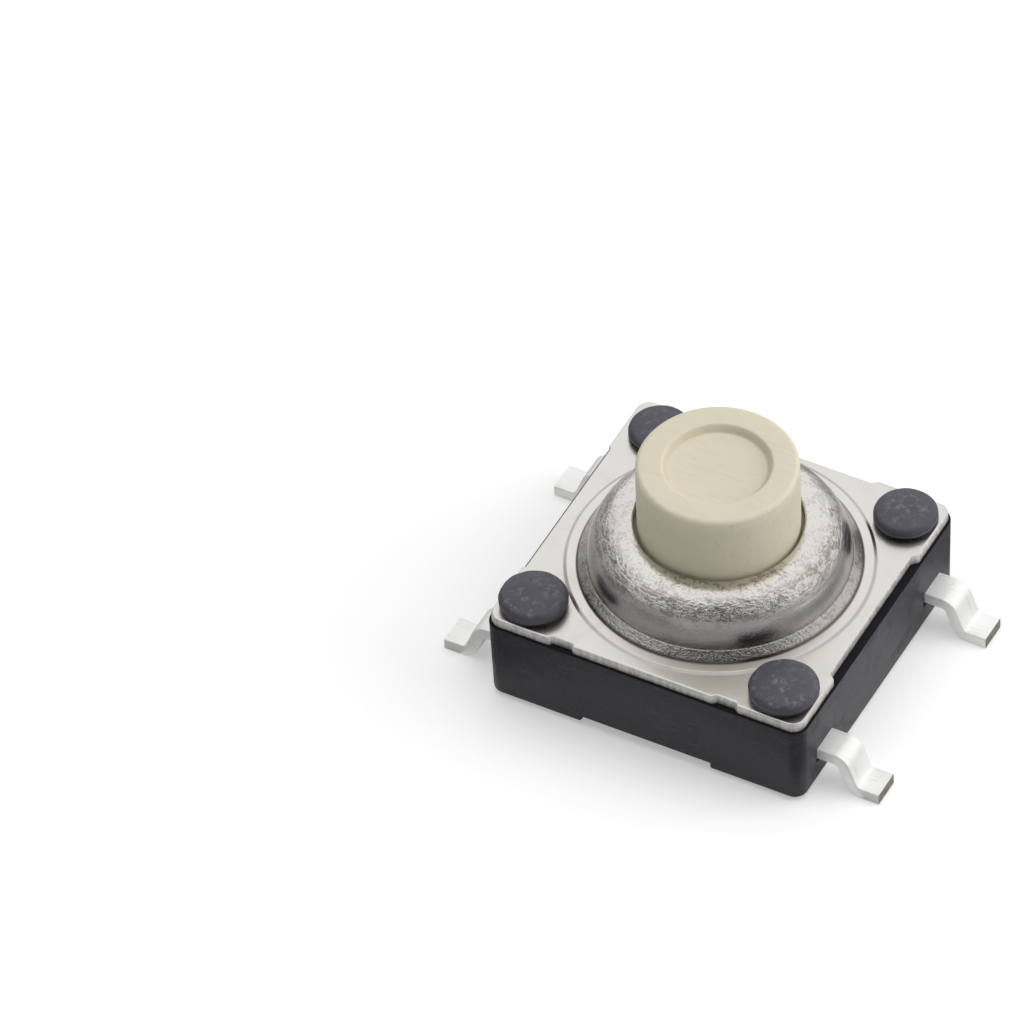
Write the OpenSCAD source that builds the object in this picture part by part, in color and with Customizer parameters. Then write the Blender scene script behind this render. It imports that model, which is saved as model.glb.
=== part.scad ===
// Sealed surface-mount tactile push button switch, in millimetres.
// The origin is the centre of the body on the board surface.
// +X runs from body to leads, +Z is the way the plunger stands.

/* [Base] */
// Width of the moulded base, along X
base_w = 6.7; // [6.4:0.05:7]
// Depth of the moulded base, along Y
base_d = 6.5; // [6.4:0.05:6.8]
// Height of the base from its underside to the cover plate
base_h = 1.82; // [1.75:0.01:1.9]
// Gap between the underside of the base and the board
stand_off = 0.07; // [0.02:0.01:0.12]
// Radius of the upright corners of the base
base_corner_r = 0.3; // [0.2:0.05:0.5]
// Height of the narrower band below the parting line
band_h = 0.45; // [0.3:0.05:0.55]
// How far that band stands in from the wall above it
band_in = 0.04; // [0.02:0.01:0.08]
// Radius of the contact chamber
chamber_r = 2.15; // [2.05:0.05:2.2]

/* [Underside] */
// Length of the long centre slot, along X
slot_l = 4.65; // [4.3:0.05:5]
// Width of the long centre slot, along Y
slot_w = 1.5; // [1.3:0.02:1.7]
// Depth of the slot's rim step
slot_rim_d = 0.07; // [0.04:0.01:0.12]
// Width of the slot's rim step
slot_rim_w = 0.18; // [0.1:0.02:0.24]
// Depth of the slot floor
slot_d = 0.16; // [0.13:0.01:0.22]
// Radius of the slot's corners
slot_corner_r = 0.35; // [0.25:0.05:0.6]
// Depth of the four mould pockets below the slot floor
pocket_d = 0.24; // [0.1:0.02:0.3]
// Width of the outer pockets, along X
outer_pocket_w = 0.54; // [0.4:0.02:0.6]
// Width of the inner pockets, along X
inner_pocket_w = 0.4; // [0.3:0.02:0.5]
// Length of all four pockets, along Y
pocket_l = 0.6; // [0.4:0.05:0.8]
// Width of the two edge recesses where they end
recess_w = 2.5; // [2:0.1:2.8]
// How much wider each edge recess is at its mouth
recess_flare = 0.28; // [0.1:0.02:0.4]
// How far each edge recess reaches in from the wall
recess_l = 1.46; // [1.1:0.02:1.6]
// Radius of the edge recesses' inner corners
recess_corner_r = 0.2; // [0.1:0.05:0.3]
// Depth of the edge recesses
recess_d = 0.18; // [0.1:0.02:0.24]

/* [Posts] */
// Distance from the cover's sides to the centre of a post
post_inset = 0.66; // [0.65:0.01:0.7]
// Radius of a post where it passes the cover
post_r = 0.42; // [0.35:0.01:0.45]
// Radius of a post's staked head
head_r = 0.65; // [0.56:0.01:0.66]
// Height of a staked head above the plate
head_h = 0.22; // [0.15:0.01:0.3]
// Radius of the head's edge
head_edge_r = 0.09; // [0.05:0.01:0.12]
// Rise of the head's crown inside that edge
head_crown = 0.04; // [0.01:0.01:0.06]
// Gap between a post and its hole in the cover, all round
post_gap = 0.03; // [0.01:0.01:0.06]

/* [Cover] */
// How far the cover's corner lobes stand in from the base's sides
cover_in = 0.05; // [0.02:0.01:0.1]
// Thickness of the cover sheet
sheet_t = 0.2; // [0.15:0.01:0.25]
// Radius of the cover's corners
cover_corner_r = 0.25; // [0.2:0.05:0.5]
// Length of the set-back middle of the two lead sides
lead_side_cut_l = 3.55; // [3:0.05:4]
// Depth of that set-back
lead_side_cut_d = 0.12; // [0.05:0.01:0.2]
// Length of the set-back middle of the rear side
rear_cut_l = 3.45; // [3:0.05:4]
// Depth of that set-back
rear_cut_d = 0.09; // [0.05:0.01:0.15]
// Length of the two relief notches of the front side
relief_l = 0.52; // [0.3:0.02:0.8]
// Depth of the relief notches
relief_d = 0.08; // [0.04:0.01:0.15]
// Distance of each relief notch from the middle
relief_x = 1.73; // [1.4:0.01:1.9]
// Outer radius of the low ring round the dome
ring_r = 2.97; // [2.92:0.01:3]
// Radius of the flat top of that ring
ring_top_r = 2.89; // [2.8:0.01:2.91]
// Height of the ring above the plate
ring_h = 0.035; // [0.02:0.005:0.06]
// Radius of the dome's wall
dome_r = 2.53; // [2.45:0.01:2.55]
// Radius of the fillet at the foot of the wall
foot_fillet = 0.19; // [0.15:0.01:0.22]
// Height of the dome above the plate
dome_h = 1.2; // [1.16:0.01:1.25]
// Radius of the dome's shoulder
shoulder_r = 0.96; // [0.9:0.01:0.97]

/* [Plunger] */
// Radius of the stem
stem_r = 1.55; // [1.35:0.01:1.6]
// Gap between the stem and the hole in the dome, all round
stem_gap = 0.1; // [0.05:0.005:0.12]
// Height of the stem's top face above the board
stem_top_z = 4.73; // [4.4:0.01:5]
// Radius of the stem's top edge
stem_edge_r = 0.1; // [0.05:0.01:0.2]
// Radius of the shallow dish in the top face
dish_r = 1.05; // [0.8:0.05:1.1]
// Depth of the dish
dish_d = 0.1; // [0.05:0.01:0.2]
// How much the dish narrows towards its floor
dish_taper = 0.07; // [0.03:0.01:0.15]
// Radius of the flange that holds the plunger in
flange_r = 1.86; // [1.8:0.01:1.88]
// Thickness of the flange
flange_t = 0.4; // [0.3:0.05:0.5]
// Gap between the flange and the inside of the dome
flange_gap = 0.1; // [0.08:0.01:0.14]
// Radius of the boss that presses on the seal
boss_r = 0.8; // [0.6:0.05:0.95]
// Travel of the plunger
travel = 0.25; // [0.2:0.01:0.28]

/* [Contacts] */
// Gap between the snap disc and the chamber's wall, all round
disc_gap = 0.25; // [0.15:0.01:0.3]
// Thickness of the snap disc
disc_t = 0.08; // [0.06:0.01:0.1]
// Spare height of the snap disc at the end of the travel
disc_spare = 0.01; // [0:0.01:0.03]
// Height of the centre contact above the chamber floor
contact_h = 0.04; // [0.02:0.01:0.05]
// Radius of the centre contact
contact_r = 0.45; // [0.3:0.05:0.6]
// How far in from the snap disc's rim the outer contact tongues have their middle
outer_tongue_in = 0.22; // [0.18:0.01:0.26]
// Width of the outer contact tongues
outer_tongue_w = 0.5; // [0.4:0.05:0.54]
// Width of the centre contact tongue
centre_tongue_w = 1.3; // [1:0.1:1.5]
// How far the tongues reach past the middle, along Y
tongue_over = 0.42; // [0.4:0.02:0.5]

/* [Seal] */
// Outer radius of the seal's clamped rim
seal_r = 2.74; // [2.7:0.01:2.8]
// Gap between the seal's rim and its seat, all round
seal_gap = 0.04; // [0.02:0.01:0.06]
// Thickness of the clamped rim
seal_rim_t = 0.15; // [0.1:0.01:0.2]
// Thickness of the thin sheet
seal_t = 0.12; // [0.06:0.01:0.14]
// How far the rim reaches in over the contact chamber
seal_lip = 0.05; // [0.02:0.01:0.1]
// Radius of the thick button in the middle
button_r = 0.9; // [0.8:0.05:1.1]
// Thickness of the button
button_t = 0.22; // [0.2:0.01:0.26]
// Gap between the snap disc and the seal, and between the seal and the boss
press_gap = 0.02; // [0.01:0.01:0.03]

/* [Leads] */
// Distance between the two rows of leads, along Y
row_pitch = 4.5; // [4.2:0.1:4.7]
// Length of the flat foot of a lead
foot_l = 0.36; // [0.3:0.02:0.6]
// Width of a lead
lead_w = 0.6; // [0.5:0.01:0.7]
// Thickness of the lead strip
lead_t = 0.2; // [0.15:0.01:0.24]
// Height of the strip's underside where it leaves the base
lead_z = 0.72; // [0.68:0.01:0.76]
// Level stretch of a lead outside the base
lead_out = 0.33; // [0.25:0.01:0.5]
// Bend radius at the middle of the strip
bend_r = 0.22; // [0.18:0.01:0.25]
// Slope of a lead between its two bends, in degrees
lead_slope = 70; // [60:1:80]
// Depth of the notch in the wall below a lead
notch_d = 0.22; // [0.1:0.02:0.3]
// Gap between a lead and each side of that notch
notch_gap = 0.05; // [0.02:0.01:0.1]

/* [Hidden] */
$fn = 96;
// Steps in a drawn arc
arc_n = 10;
// Overlap that makes a cut run clean through a face
cut = 0.1;

base_top = stand_off + base_h;
plate_top = base_top + sheet_t;
ring_top = plate_top + ring_h;
dome_top = plate_top + dome_h;
shoulder_z = dome_top - shoulder_r;
hole_r = stem_r + stem_gap;
post_hole_r = post_r + post_gap;
cover_w = base_w - 2 * cover_in;
cover_d = base_d - 2 * cover_in;
floor_z = lead_z + lead_t;
disc_r = chamber_r - disc_gap;
disc_h = contact_h + disc_t + travel + disc_spare;
outer_tongue_x = disc_r - outer_tongue_in;
disc_top = floor_z + disc_h;
seal_button_z = disc_top + press_gap;
boss_z = seal_button_z + button_t + press_gap;
flange_top = dome_top - sheet_t - flange_gap;
seal_seat_r = seal_r + seal_gap;
row_y = row_pitch / 2;
post_x = cover_w / 2 - post_inset;
post_y = cover_d / 2 - post_inset;
inner_pocket_x = centre_tongue_w / 2 - inner_pocket_w / 2;

// Points on an arc about (cx, cy), from angle a0 to angle a1
function arc(cx, cy, r, a0, a1, n = arc_n) =
    [for (i = [0:n]) let (a = a0 + (a1 - a0) * i / n) [cx + r * cos(a), cy + r * sin(a)]];

// Rectangle l by w with corners of radius r
module rounded_rect(l, w, r) {
    square([l, w - 2 * r], center = true);
    square([l - 2 * r, w], center = true);
    for (x = [-1, 1], y = [-1, 1])
        translate([x * (l / 2 - r), y * (w / 2 - r)]) circle(r);
}

// Copies its child at the four posts
module at_posts() {
    for (x = [-1, 1], y = [-1, 1]) translate([x * post_x, y * post_y, 0]) children();
}

// Base

// Post through the plate, spread over it into a low rounded head
module staked_post() {
    translate([0, 0, base_top - cut]) cylinder(r = post_r, h = sheet_t + 2 * cut);
    crown_r = head_r - head_edge_r;
    head_top = plate_top + head_h;
    rotate_extrude() polygon(concat(
        [[0, plate_top], [crown_r, plate_top]],
        arc(crown_r, head_top - head_crown - head_edge_r, head_edge_r, -20, 80, 6),
        [for (i = [1:4]) let (t = 1 - i / 4) [crown_r * t, head_top - head_crown * t * t]]));
}

// Edge recess, open at the wall towards -Y
module edge_recess() {
    corner = recess_corner_r;
    wall = base_d / 2;
    w0 = recess_w / 2;
    w1 = w0 + recess_flare / 2;
    inner = wall - recess_l;
    translate([0, 0, stand_off - cut]) linear_extrude(recess_d + cut)
        polygon(concat([[-w1, -wall - cut], [w1, -wall - cut]],
            arc(w0 - corner, -inner - corner, corner, 0, 90, 5),
            arc(-w0 + corner, -inner - corner, corner, 90, 180, 5)));
}

// Long slot with its rim step and its four mould pockets
module centre_slot() {
    translate([0, 0, stand_off - cut]) linear_extrude(slot_rim_d + cut)
        rounded_rect(slot_l, slot_w, slot_corner_r);
    translate([0, 0, stand_off]) linear_extrude(slot_d)
        rounded_rect(slot_l - 2 * slot_rim_w, slot_w - 2 * slot_rim_w, slot_corner_r - slot_rim_w / 2);
    for (s = [-1, 1]) {
        translate([s * outer_tongue_x - outer_pocket_w / 2, -pocket_l / 2, stand_off])
            cube([outer_pocket_w, pocket_l, slot_d + pocket_d]);
        translate([s * inner_pocket_x - inner_pocket_w / 2, -pocket_l / 2, stand_off])
            cube([inner_pocket_w, pocket_l, slot_d + pocket_d]);
    }
}

// Notches in the lower wall below the four leads
module lead_notches() {
    w = lead_w + 2 * notch_gap;
    for (s = [0, 1], y = [-1, 1]) mirror([s, 0, 0])
        translate([base_w / 2 - notch_d, y * row_y - w / 2, stand_off - cut])
            cube([notch_d + cut, w, lead_z - stand_off + cut]);
}

module base() {
    color([0.16, 0.16, 0.18]) difference() {
        union() {
            translate([0, 0, stand_off]) linear_extrude(band_h)
                rounded_rect(base_w - 2 * band_in, base_d - 2 * band_in, base_corner_r);
            translate([0, 0, stand_off + band_h]) linear_extrude(base_h - band_h)
                rounded_rect(base_w, base_d, base_corner_r);
            at_posts() staked_post();
        }
        translate([0, 0, floor_z]) cylinder(r = chamber_r, h = base_h);
        translate([0, 0, base_top - seal_rim_t]) cylinder(r = seal_seat_r, h = sheet_t);
        centre_slot();
        edge_recess();
        rotate([0, 0, 180]) edge_recess();
        lead_notches();
        front_frame_shape();
        rear_frame_shape();
    }
}

// Cover

// Shallow cut with chamfered ends in the side of the plate towards -Y, wall away from the middle
module side_cut(wall, l, d, x = 0) {
    polygon([[x - l / 2, -wall - cut], [x - l / 2, -wall], [x - l / 2 + d, -wall + d],
             [x + l / 2 - d, -wall + d], [x + l / 2, -wall], [x + l / 2, -wall - cut]]);
}

// Outline of the plate: corner lobes, set-back middles and relief notches
module plate_outline() {
    difference() {
        rounded_rect(cover_w, cover_d, cover_corner_r);
        for (a = [90, 270]) rotate(a) side_cut(cover_w / 2, lead_side_cut_l, lead_side_cut_d);
        rotate(180) side_cut(cover_d / 2, rear_cut_l, rear_cut_d);
        for (s = [-1, 1]) side_cut(cover_d / 2, relief_l, relief_d, s * relief_x);
    }
}

// Half section of the pressed dome's skin, moved inwards by t
function dome_skin(t) = concat(
    [[ring_r, plate_top - t], [ring_top_r, ring_top - t]],
    arc(dome_r + foot_fillet, ring_top + foot_fillet, foot_fillet + t, 270, 180),
    arc(dome_r - shoulder_r, shoulder_z, shoulder_r - t, 0, 90),
    [[0, dome_top - t]]);

module cover() {
    color([0.86, 0.84, 0.82]) difference() {
        union() {
            translate([0, 0, base_top]) linear_extrude(sheet_t) plate_outline();
            rotate_extrude() polygon(concat([[0, base_top], [ring_r, base_top]], dome_skin(0)));
        }
        rotate_extrude() polygon(concat([[0, base_top - cut], [ring_r, base_top - cut]],
            dome_skin(sheet_t)));
        cylinder(r = hole_r, h = dome_top + cut);
        at_posts() cylinder(r = post_hole_r, h = dome_top);
    }
}

// Plunger

module plunger() {
    color([0.9, 0.87, 0.77]) rotate_extrude() polygon(concat(
        [[0, boss_z], [boss_r, boss_z], [boss_r, flange_top - flange_t],
         [flange_r, flange_top - flange_t], [flange_r, flange_top], [stem_r, flange_top]],
        arc(stem_r - stem_edge_r, stem_top_z - stem_edge_r, stem_edge_r, 0, 90, 6),
        [[dish_r, stem_top_z], [dish_r - dish_taper, stem_top_z - dish_d], [0, stem_top_z - dish_d]]));
}

// Seal

module seal() {
    rim_z = base_top - seal_rim_t;
    rim_in = chamber_r - seal_lip;
    color([0.35, 0.33, 0.3]) rotate_extrude() polygon([
        [0, seal_button_z], [button_r, seal_button_z], [rim_in, rim_z], [seal_r, rim_z],
        [seal_r, base_top], [rim_in, base_top], [rim_in, rim_z + seal_t],
        [button_r, seal_button_z + seal_t], [button_r, seal_button_z + button_t],
        [0, seal_button_z + button_t]]);
}

// Contacts and leads

// Snap disc: a dished round spring that rests on its rim
module contact_dome() {
    sphere_r = (disc_r * disc_r + disc_h * disc_h) / (2 * disc_h);
    inner_r = sphere_r - disc_t;
    cz = disc_top - sphere_r;
    color([0.8, 0.8, 0.78]) rotate_extrude() polygon(concat(
        arc(0, cz, sphere_r, asin((floor_z - cz) / sphere_r), 90),
        arc(0, cz, inner_r, 90, asin((floor_z - cz) / inner_r))));
}

// One face of the strip to the right of the middle, seen from the front, half_t from its midline
function lead_side(half_t) =
    let (x0 = base_w / 2 + lead_out,
         z0 = lead_z + lead_t / 2,
         drop = z0 - lead_t / 2,
         run = (drop - 2 * bend_r * (1 - cos(lead_slope))) / sin(lead_slope),
         x1 = x0 + 2 * bend_r * sin(lead_slope) + run * cos(lead_slope))
    concat([[0, z0 + half_t]],
        arc(x0, z0 - bend_r, bend_r + half_t, 90, 90 - lead_slope, 8),
        arc(x1, lead_t / 2 + bend_r, bend_r - half_t, 270 - lead_slope, 270, 8),
        [[x1 + foot_l, lead_t / 2 + half_t]]);

function backwards(p) = [for (i = [len(p) - 1:-1:0]) p[i]];

// Strip across the base with a formed lead at each end, in the row at y
module lead_row(y) {
    for (s = [0, 1]) mirror([s, 0, 0]) translate([0, y + lead_w / 2, 0]) rotate([90, 0, 0])
        linear_extrude(lead_w)
            polygon(concat(lead_side(lead_t / 2), backwards(lead_side(-lead_t / 2))));
}

// Front frame: both front leads and the two outer contact tongues
module front_frame_shape() {
    lead_row(-row_y);
    for (s = [-1, 1])
        translate([s * outer_tongue_x - outer_tongue_w / 2, -row_y, lead_z])
            cube([outer_tongue_w, row_y + tongue_over, lead_t]);
}

// Rear frame: both rear leads and the tongue with the centre contact
module rear_frame_shape() {
    lead_row(row_y);
    translate([-centre_tongue_w / 2, -tongue_over, lead_z])
        cube([centre_tongue_w, row_y + tongue_over, lead_t]);
    translate([0, 0, lead_z]) cylinder(r = contact_r, h = lead_t + contact_h);
}

module terminal_frame_front() {
    color([0.88, 0.87, 0.84]) front_frame_shape();
}

module terminal_frame_rear() {
    color([0.88, 0.87, 0.84]) rear_frame_shape();
}

base();
cover();
plunger();
seal();
contact_dome();
terminal_frame_front();
terminal_frame_rear();
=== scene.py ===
"""Looks of a sealed surface-mount tactile push button switch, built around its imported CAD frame."""

import math

import bmesh
import bpy
from bpy.props import FloatProperty, FloatVectorProperty, IntProperty, PointerProperty
from mathutils import Matrix, Vector
from mathutils.geometry import delaunay_2d_cdt


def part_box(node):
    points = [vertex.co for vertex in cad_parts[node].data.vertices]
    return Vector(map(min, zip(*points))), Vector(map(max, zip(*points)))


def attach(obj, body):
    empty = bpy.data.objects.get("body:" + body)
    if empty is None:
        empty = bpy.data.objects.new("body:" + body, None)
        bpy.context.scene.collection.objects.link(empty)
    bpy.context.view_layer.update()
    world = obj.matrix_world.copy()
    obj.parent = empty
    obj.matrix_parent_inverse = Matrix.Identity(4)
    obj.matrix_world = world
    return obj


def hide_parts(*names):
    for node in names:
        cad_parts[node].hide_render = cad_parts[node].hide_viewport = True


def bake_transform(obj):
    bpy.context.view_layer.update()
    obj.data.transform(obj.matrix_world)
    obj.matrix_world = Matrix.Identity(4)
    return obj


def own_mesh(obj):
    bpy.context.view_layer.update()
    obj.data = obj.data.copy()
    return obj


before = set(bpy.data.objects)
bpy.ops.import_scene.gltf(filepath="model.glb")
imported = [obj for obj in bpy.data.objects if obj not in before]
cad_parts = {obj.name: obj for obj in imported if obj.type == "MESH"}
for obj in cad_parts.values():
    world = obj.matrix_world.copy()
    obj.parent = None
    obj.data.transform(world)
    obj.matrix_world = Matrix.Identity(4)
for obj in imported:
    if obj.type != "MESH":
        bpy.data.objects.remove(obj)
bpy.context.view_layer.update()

bl_info = {
    "name": "Tactile Push Button Switch",
    "version": (1, 0, 0),
    "blender": (4, 5, 0),
    "location": "View3D > Sidebar > Switch",
    "description": "Builds the base, staked heads, pressed cover, plunger, leads and inner parts",
    "category": "Object",
}

MM = 0.001
HOUSING = "housing"
PLUNGER_BODY = "plunger"

# Levels that the pieces share, read from the frame
BASE_LOW, BASE_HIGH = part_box("base")
COVER_LOW, COVER_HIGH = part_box("cover")
PLUNGER_LOW, PLUNGER_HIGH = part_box("plunger")
SEAL_LOW, SEAL_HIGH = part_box("seal")
DISC_LOW, DISC_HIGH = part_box("contact_dome")
FRONT_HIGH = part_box("terminal_frame_front")[1]
BASE_TOP = COVER_LOW.z

# Distance below which two points are the same
WELD = 1e-7
# Greatest turn between two points of a drawn arc, in degrees
ARC_TURN = 7.5
# Sharpest angle between two faces that are shaded as one surface
SMOOTH = math.radians(35)
# How far a cutter reaches past the faces that it opens
PAST = 0.1 * MM
# Facets round the post holes, the heads, the inner parts and the plunger
HOLE_STEPS, HEAD_STEPS, INNER_STEPS, PLUNGER_STEPS = 40, 48, 96, 144
# Points along the seal's cone and the snap disc's bow
CONE_STEPS, BOW_STEPS = 12, 16
# Facets round the dark hood and the grey ring on the table
HOOD_STEPS, TRAY_STEPS = 48, 64
# Width of the level strip between the ring and the flat plate that it is welded to
RING_MARGIN = 0.025 * MM
# How far a tongue's faces lie inside its strip's, so that the two can be joined
TONGUE_INSET = 0.004 * MM
# Part of the plate's half width beyond which a steep face is its sheared edge
SHEARED_FROM = 0.94

# Direction of the side where the plunger's reflection is painted on the collar, as X and Y
PLUNGER_REFLECTION_SIDE = (0.49, -0.87)

# Axes of the photo's camera
CAMERA_RIGHT = Vector((0.884511, 0.465503, -0.030784))
CAMERA_UP = Vector((-0.315449, 0.645397, 0.695668))
# Places of the lamps, and where they point
KEY_PLACE = (0.42, 0.20, 0.28)
TOP_PLACE = (-0.02, 0.04, 0.50)
LAMP_TARGET = Vector((0, 0, 0.002))
# Stretches of the grey wall, in degrees from the camera's side
LEFT_WALL = (-140, -40)
RIGHT_WALL = (-40, 62)
# Distance and tone of the dark hood, and height of the grey ring on the table
HOOD_AWAY = 0.5
HOOD_TONE = 0.02
TRAY_Z = 0.02 * MM


def length(name, text, millimetres):
    """A size in the panel, given here in millimetres."""
    return FloatProperty(name=name, description=text, default=millimetres * MM, min=0, precision=6,
                         subtype="DISTANCE", unit="LENGTH")


def share(name, text, amount):
    """A plain factor in the panel."""
    return FloatProperty(name=name, description=text, default=amount, min=0, max=1,
                         subtype="FACTOR")


def power(name, text, watts):
    """The power of a lamp in the panel."""
    return FloatProperty(name=name, description=text, default=watts, min=0, unit="POWER")


def colour(name, text, red, green, blue):
    """A linear colour in the panel."""
    return FloatVectorProperty(name=name, description=text, default=(red, green, blue, 1),
                               size=4, min=0, max=1, subtype="COLOR")


class BaseSizes(bpy.types.PropertyGroup):
    """Sizes of the moulded base"""
    corner_r: length("Corner radius", "Radius of the upright corners", 0.3)
    foot_r: length("Foot radius", "Radius of the edge round the underside", 0.1)
    draft: length("Draft", "How far the walls lean in towards the underside", 0.04)
    top_edge: length("Top edge", "Bevel of the edge under the cover", 0.02)
    chamber_r: length("Chamber radius", "Radius of the contact chamber", 2.15)
    seal_seat_r: length("Seal seat radius", "Radius of the step that the seal lies in", 2.78)
    slot_l: length("Slot length", "Length of the centre slot in the underside", 4.65)
    slot_w: length("Slot width", "Width of the centre slot", 1.5)
    slot_rim_d: length("Slot rim depth", "Depth of the slot's rim step", 0.07)
    slot_rim_w: length("Slot rim width", "Width of the slot's rim step", 0.18)
    slot_d: length("Slot depth", "Depth of the slot floor", 0.16)
    slot_corner_r: length("Slot corner radius", "Radius of the slot's corners", 0.35)
    pocket_d: length("Pocket depth", "Depth of the mould pockets below the slot floor", 0.24)
    pocket_l: length("Pocket length", "Length of the mould pockets, along Y", 0.6)
    outer_pocket_w: length("Outer pocket width", "Width of the outer pockets", 0.54)
    outer_pocket_x: length("Outer pocket place", "Middle of the outer pockets", 1.68)
    inner_pocket_w: length("Inner pocket width", "Width of the inner pockets", 0.4)
    inner_pocket_x: length("Inner pocket place", "Middle of the inner pockets", 0.45)
    recess_w: length("Recess width", "Width of the edge recesses where they end", 2.5)
    recess_flare: length("Recess flare", "How much wider a recess is at its mouth", 0.28)
    recess_l: length("Recess reach", "How far a recess reaches in from the wall", 1.46)
    recess_corner_r: length("Recess corner radius", "Radius of its inner corners", 0.2)
    recess_d: length("Recess depth", "Depth of the edge recesses", 0.18)
    notch_d: length("Notch depth", "Depth of the small hollow below a lead", 0.06)
    notch_h: length("Notch height", "Height of that hollow", 0.1)
    notch_gap: length("Notch gap", "Gap between a lead and each side of its hollow", 0.02)
    edge: length("Cut edge", "Bevel of every edge cut into the moulding", 0.018)


class HeadSizes(bpy.types.PropertyGroup):
    """Sizes of the four staked heads"""
    inset: length("Inset", "From the cover's side to the middle of a head", 0.66)
    radius: length("Radius", "Radius of a head", 0.65)
    stem_r: length("Stem radius", "Radius of the post below it", 0.42)
    rim_r: length("Rim radius", "Radius of the head's edge", 0.14)
    crown: length("Crown", "Rise of the head inside its edge", 0.12)
    rise: length("Rise", "How far the crown stands above the plain head", 0.15)
    lift: length("Lip height", "Height of the head's thin lip above the plate", 0.1)
    lip_in: length("Undercut", "How far the head is narrower below its lip", 0.05)
    wander: length("Wander", "How far the staked rim wanders from a circle", 0.022)
    spread: share("Spread", "How much the heads differ in size", 0.06)
    shift: FloatVectorProperty(name="Rear-left shift", unit="LENGTH", subtype="TRANSLATION",
                               description="How far the rear-left head was pressed off its post",
                               default=(0.09 * MM, -0.06 * MM, -0.02 * MM), precision=6)
    seed: IntProperty(name="Seed", description="Seed of the heads' small differences", default=4)


class CoverSizes(bpy.types.PropertyGroup):
    """Sizes of the pressed cover"""
    sheet_t: length("Sheet", "Thickness of the sheet", 0.2)
    corner_r: length("Corner radius", "Radius of the cover's corners", 0.25)
    side_cut_l: length("Side cut length", "Length of the set-back middle of a lead side", 3.55)
    side_cut_d: length("Side cut depth", "Depth of that set-back", 0.12)
    left_cut_d: length("Left cut depth", "Depth of the set-back at the left", 0.05)
    rear_cut_l: length("Rear cut length", "Length of the set-back middle at the rear", 3.45)
    rear_cut_d: length("Rear cut depth", "Depth of that set-back", 0.09)
    relief_l: length("Relief length", "Length of the two front relief notches", 0.52)
    relief_d: length("Relief depth", "Depth of the relief notches", 0.07)
    relief_x: length("Relief place", "Distance of each relief notch from the middle", 1.73)
    sheared_r: length("Sheared edge", "Rounding of the sheared edge's upper side", 0.048)
    burr_r: length("Burr edge", "Rounding of the sheared edge's lower side", 0.01)
    post_gap: length("Post gap", "Gap between a post and its hole", 0.03)
    ring_r: length("Ring radius", "Outer radius of the low ring round the dome", 2.965)
    ring_top_r: length("Ring top radius", "Where the ring's top ends in a small slope", 2.90)
    ring_h: length("Ring height", "Height of the ring above the plate", 0.035)
    ring_step: length("Ring slope", "Height of that small slope", 0.034)
    bead_w: length("Bead width", "Width of the rounded bead at the dome's foot", 0.185)
    bead_h: length("Bead height", "Height of that bead above the ring", 0.19)
    dome_r: length("Dome radius", "Radius of the dome's wall", 2.53)
    shoulder_r: length("Shoulder radius", "Radius of the dome's shoulder", 0.96)
    hole_r: length("Hole radius", "Radius of the hole round the plunger", 1.615)
    collar_turn: FloatProperty(name="Collar start", description="Where the shoulder's arc "
                               "turns into the level collar", default=math.radians(76),
                               subtype="ANGLE")
    collar_dip: length("Collar dip", "How far the collar falls towards the hole", 0.008)
    hole_edge: length("Hole edge", "Rounding of the hole's upper edge", 0.045)
    steps: IntProperty(name="Steps", description="Facets round the dome", default=192, min=24)


class PlungerSizes(bpy.types.PropertyGroup):
    """Sizes of the plunger"""
    stem_r: length("Stem radius", "Radius of the stem", 1.55)
    edge_r: length("Edge radius", "Radius of the stem's top edge", 0.1)
    dish_r: length("Dish radius", "Radius of the shallow dish in the top", 1.05)
    dish_d: length("Dish depth", "Depth of the dish", 0.15)
    dish_taper: length("Dish taper", "How much the dish narrows towards its floor", 0.1)
    dish_edge: length("Dish edge", "Rounding of the dish's rim", 0.06)
    flange_t: length("Flange", "Thickness of the flange below the dome", 0.4)
    flange_gap: length("Flange gap", "Gap between the flange and the cover sheet", 0.1)
    boss_r: length("Boss radius", "Radius of the boss that presses on the seal", 0.8)
    edge: length("Inner edges", "Rounding of the edges inside the dome", 0.03)


class LeadSizes(bpy.types.PropertyGroup):
    """Sizes of the two terminal frames and their four leads"""
    row_y: length("Row place", "Distance of each row from the middle", 2.25)
    width: length("Width", "Width of a lead", 0.64)
    thick: length("Thickness", "Thickness of the strip", 0.25)
    strip_z: length("Strip height", "Underside of the strip inside the base", 0.67)
    out: length("Level stretch", "Level stretch of a lead outside the base", 0.33)
    bend_r: length("Bend radius", "Bend radius at the middle of the strip", 0.22)
    slope: FloatProperty(name="Slope", description="Slope between a lead's two bends",
                         default=math.radians(70), subtype="ANGLE")
    foot_l: length("Foot", "Length of the flat foot", 0.378)
    edge_r: length("Edge radius", "Rounding of the strip's edges", 0.022)
    outer_tongue_w: length("Outer tongue width", "Width of the outer contact tongues", 0.5)
    outer_tongue_x: length("Outer tongue place", "Middle of the outer tongues", 1.68)
    centre_tongue_w: length("Centre tongue width", "Width of the centre tongue", 1.3)
    tongue_over: length("Tongue reach", "How far the tongues reach past the middle", 0.42)
    contact_r: length("Contact radius", "Radius of the centre contact", 0.45)
    contact_h: length("Contact height", "Height of the centre contact", 0.04)


class InnerSizes(bpy.types.PropertyGroup):
    """Sizes of the seal and the snap disc"""
    rim_t: length("Seal rim", "Thickness of the seal's clamped rim", 0.15)
    sheet_t: length("Seal sheet", "Thickness of the seal's thin sheet", 0.12)
    lip: length("Seal lip", "How far the rim reaches in over the chamber", 0.05)
    button_r: length("Button radius", "Radius of the seal's thick middle", 0.9)
    button_t: length("Button", "Thickness of the seal's middle", 0.22)
    disc_t: length("Snap disc", "Thickness of the snap disc", 0.08)


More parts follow.
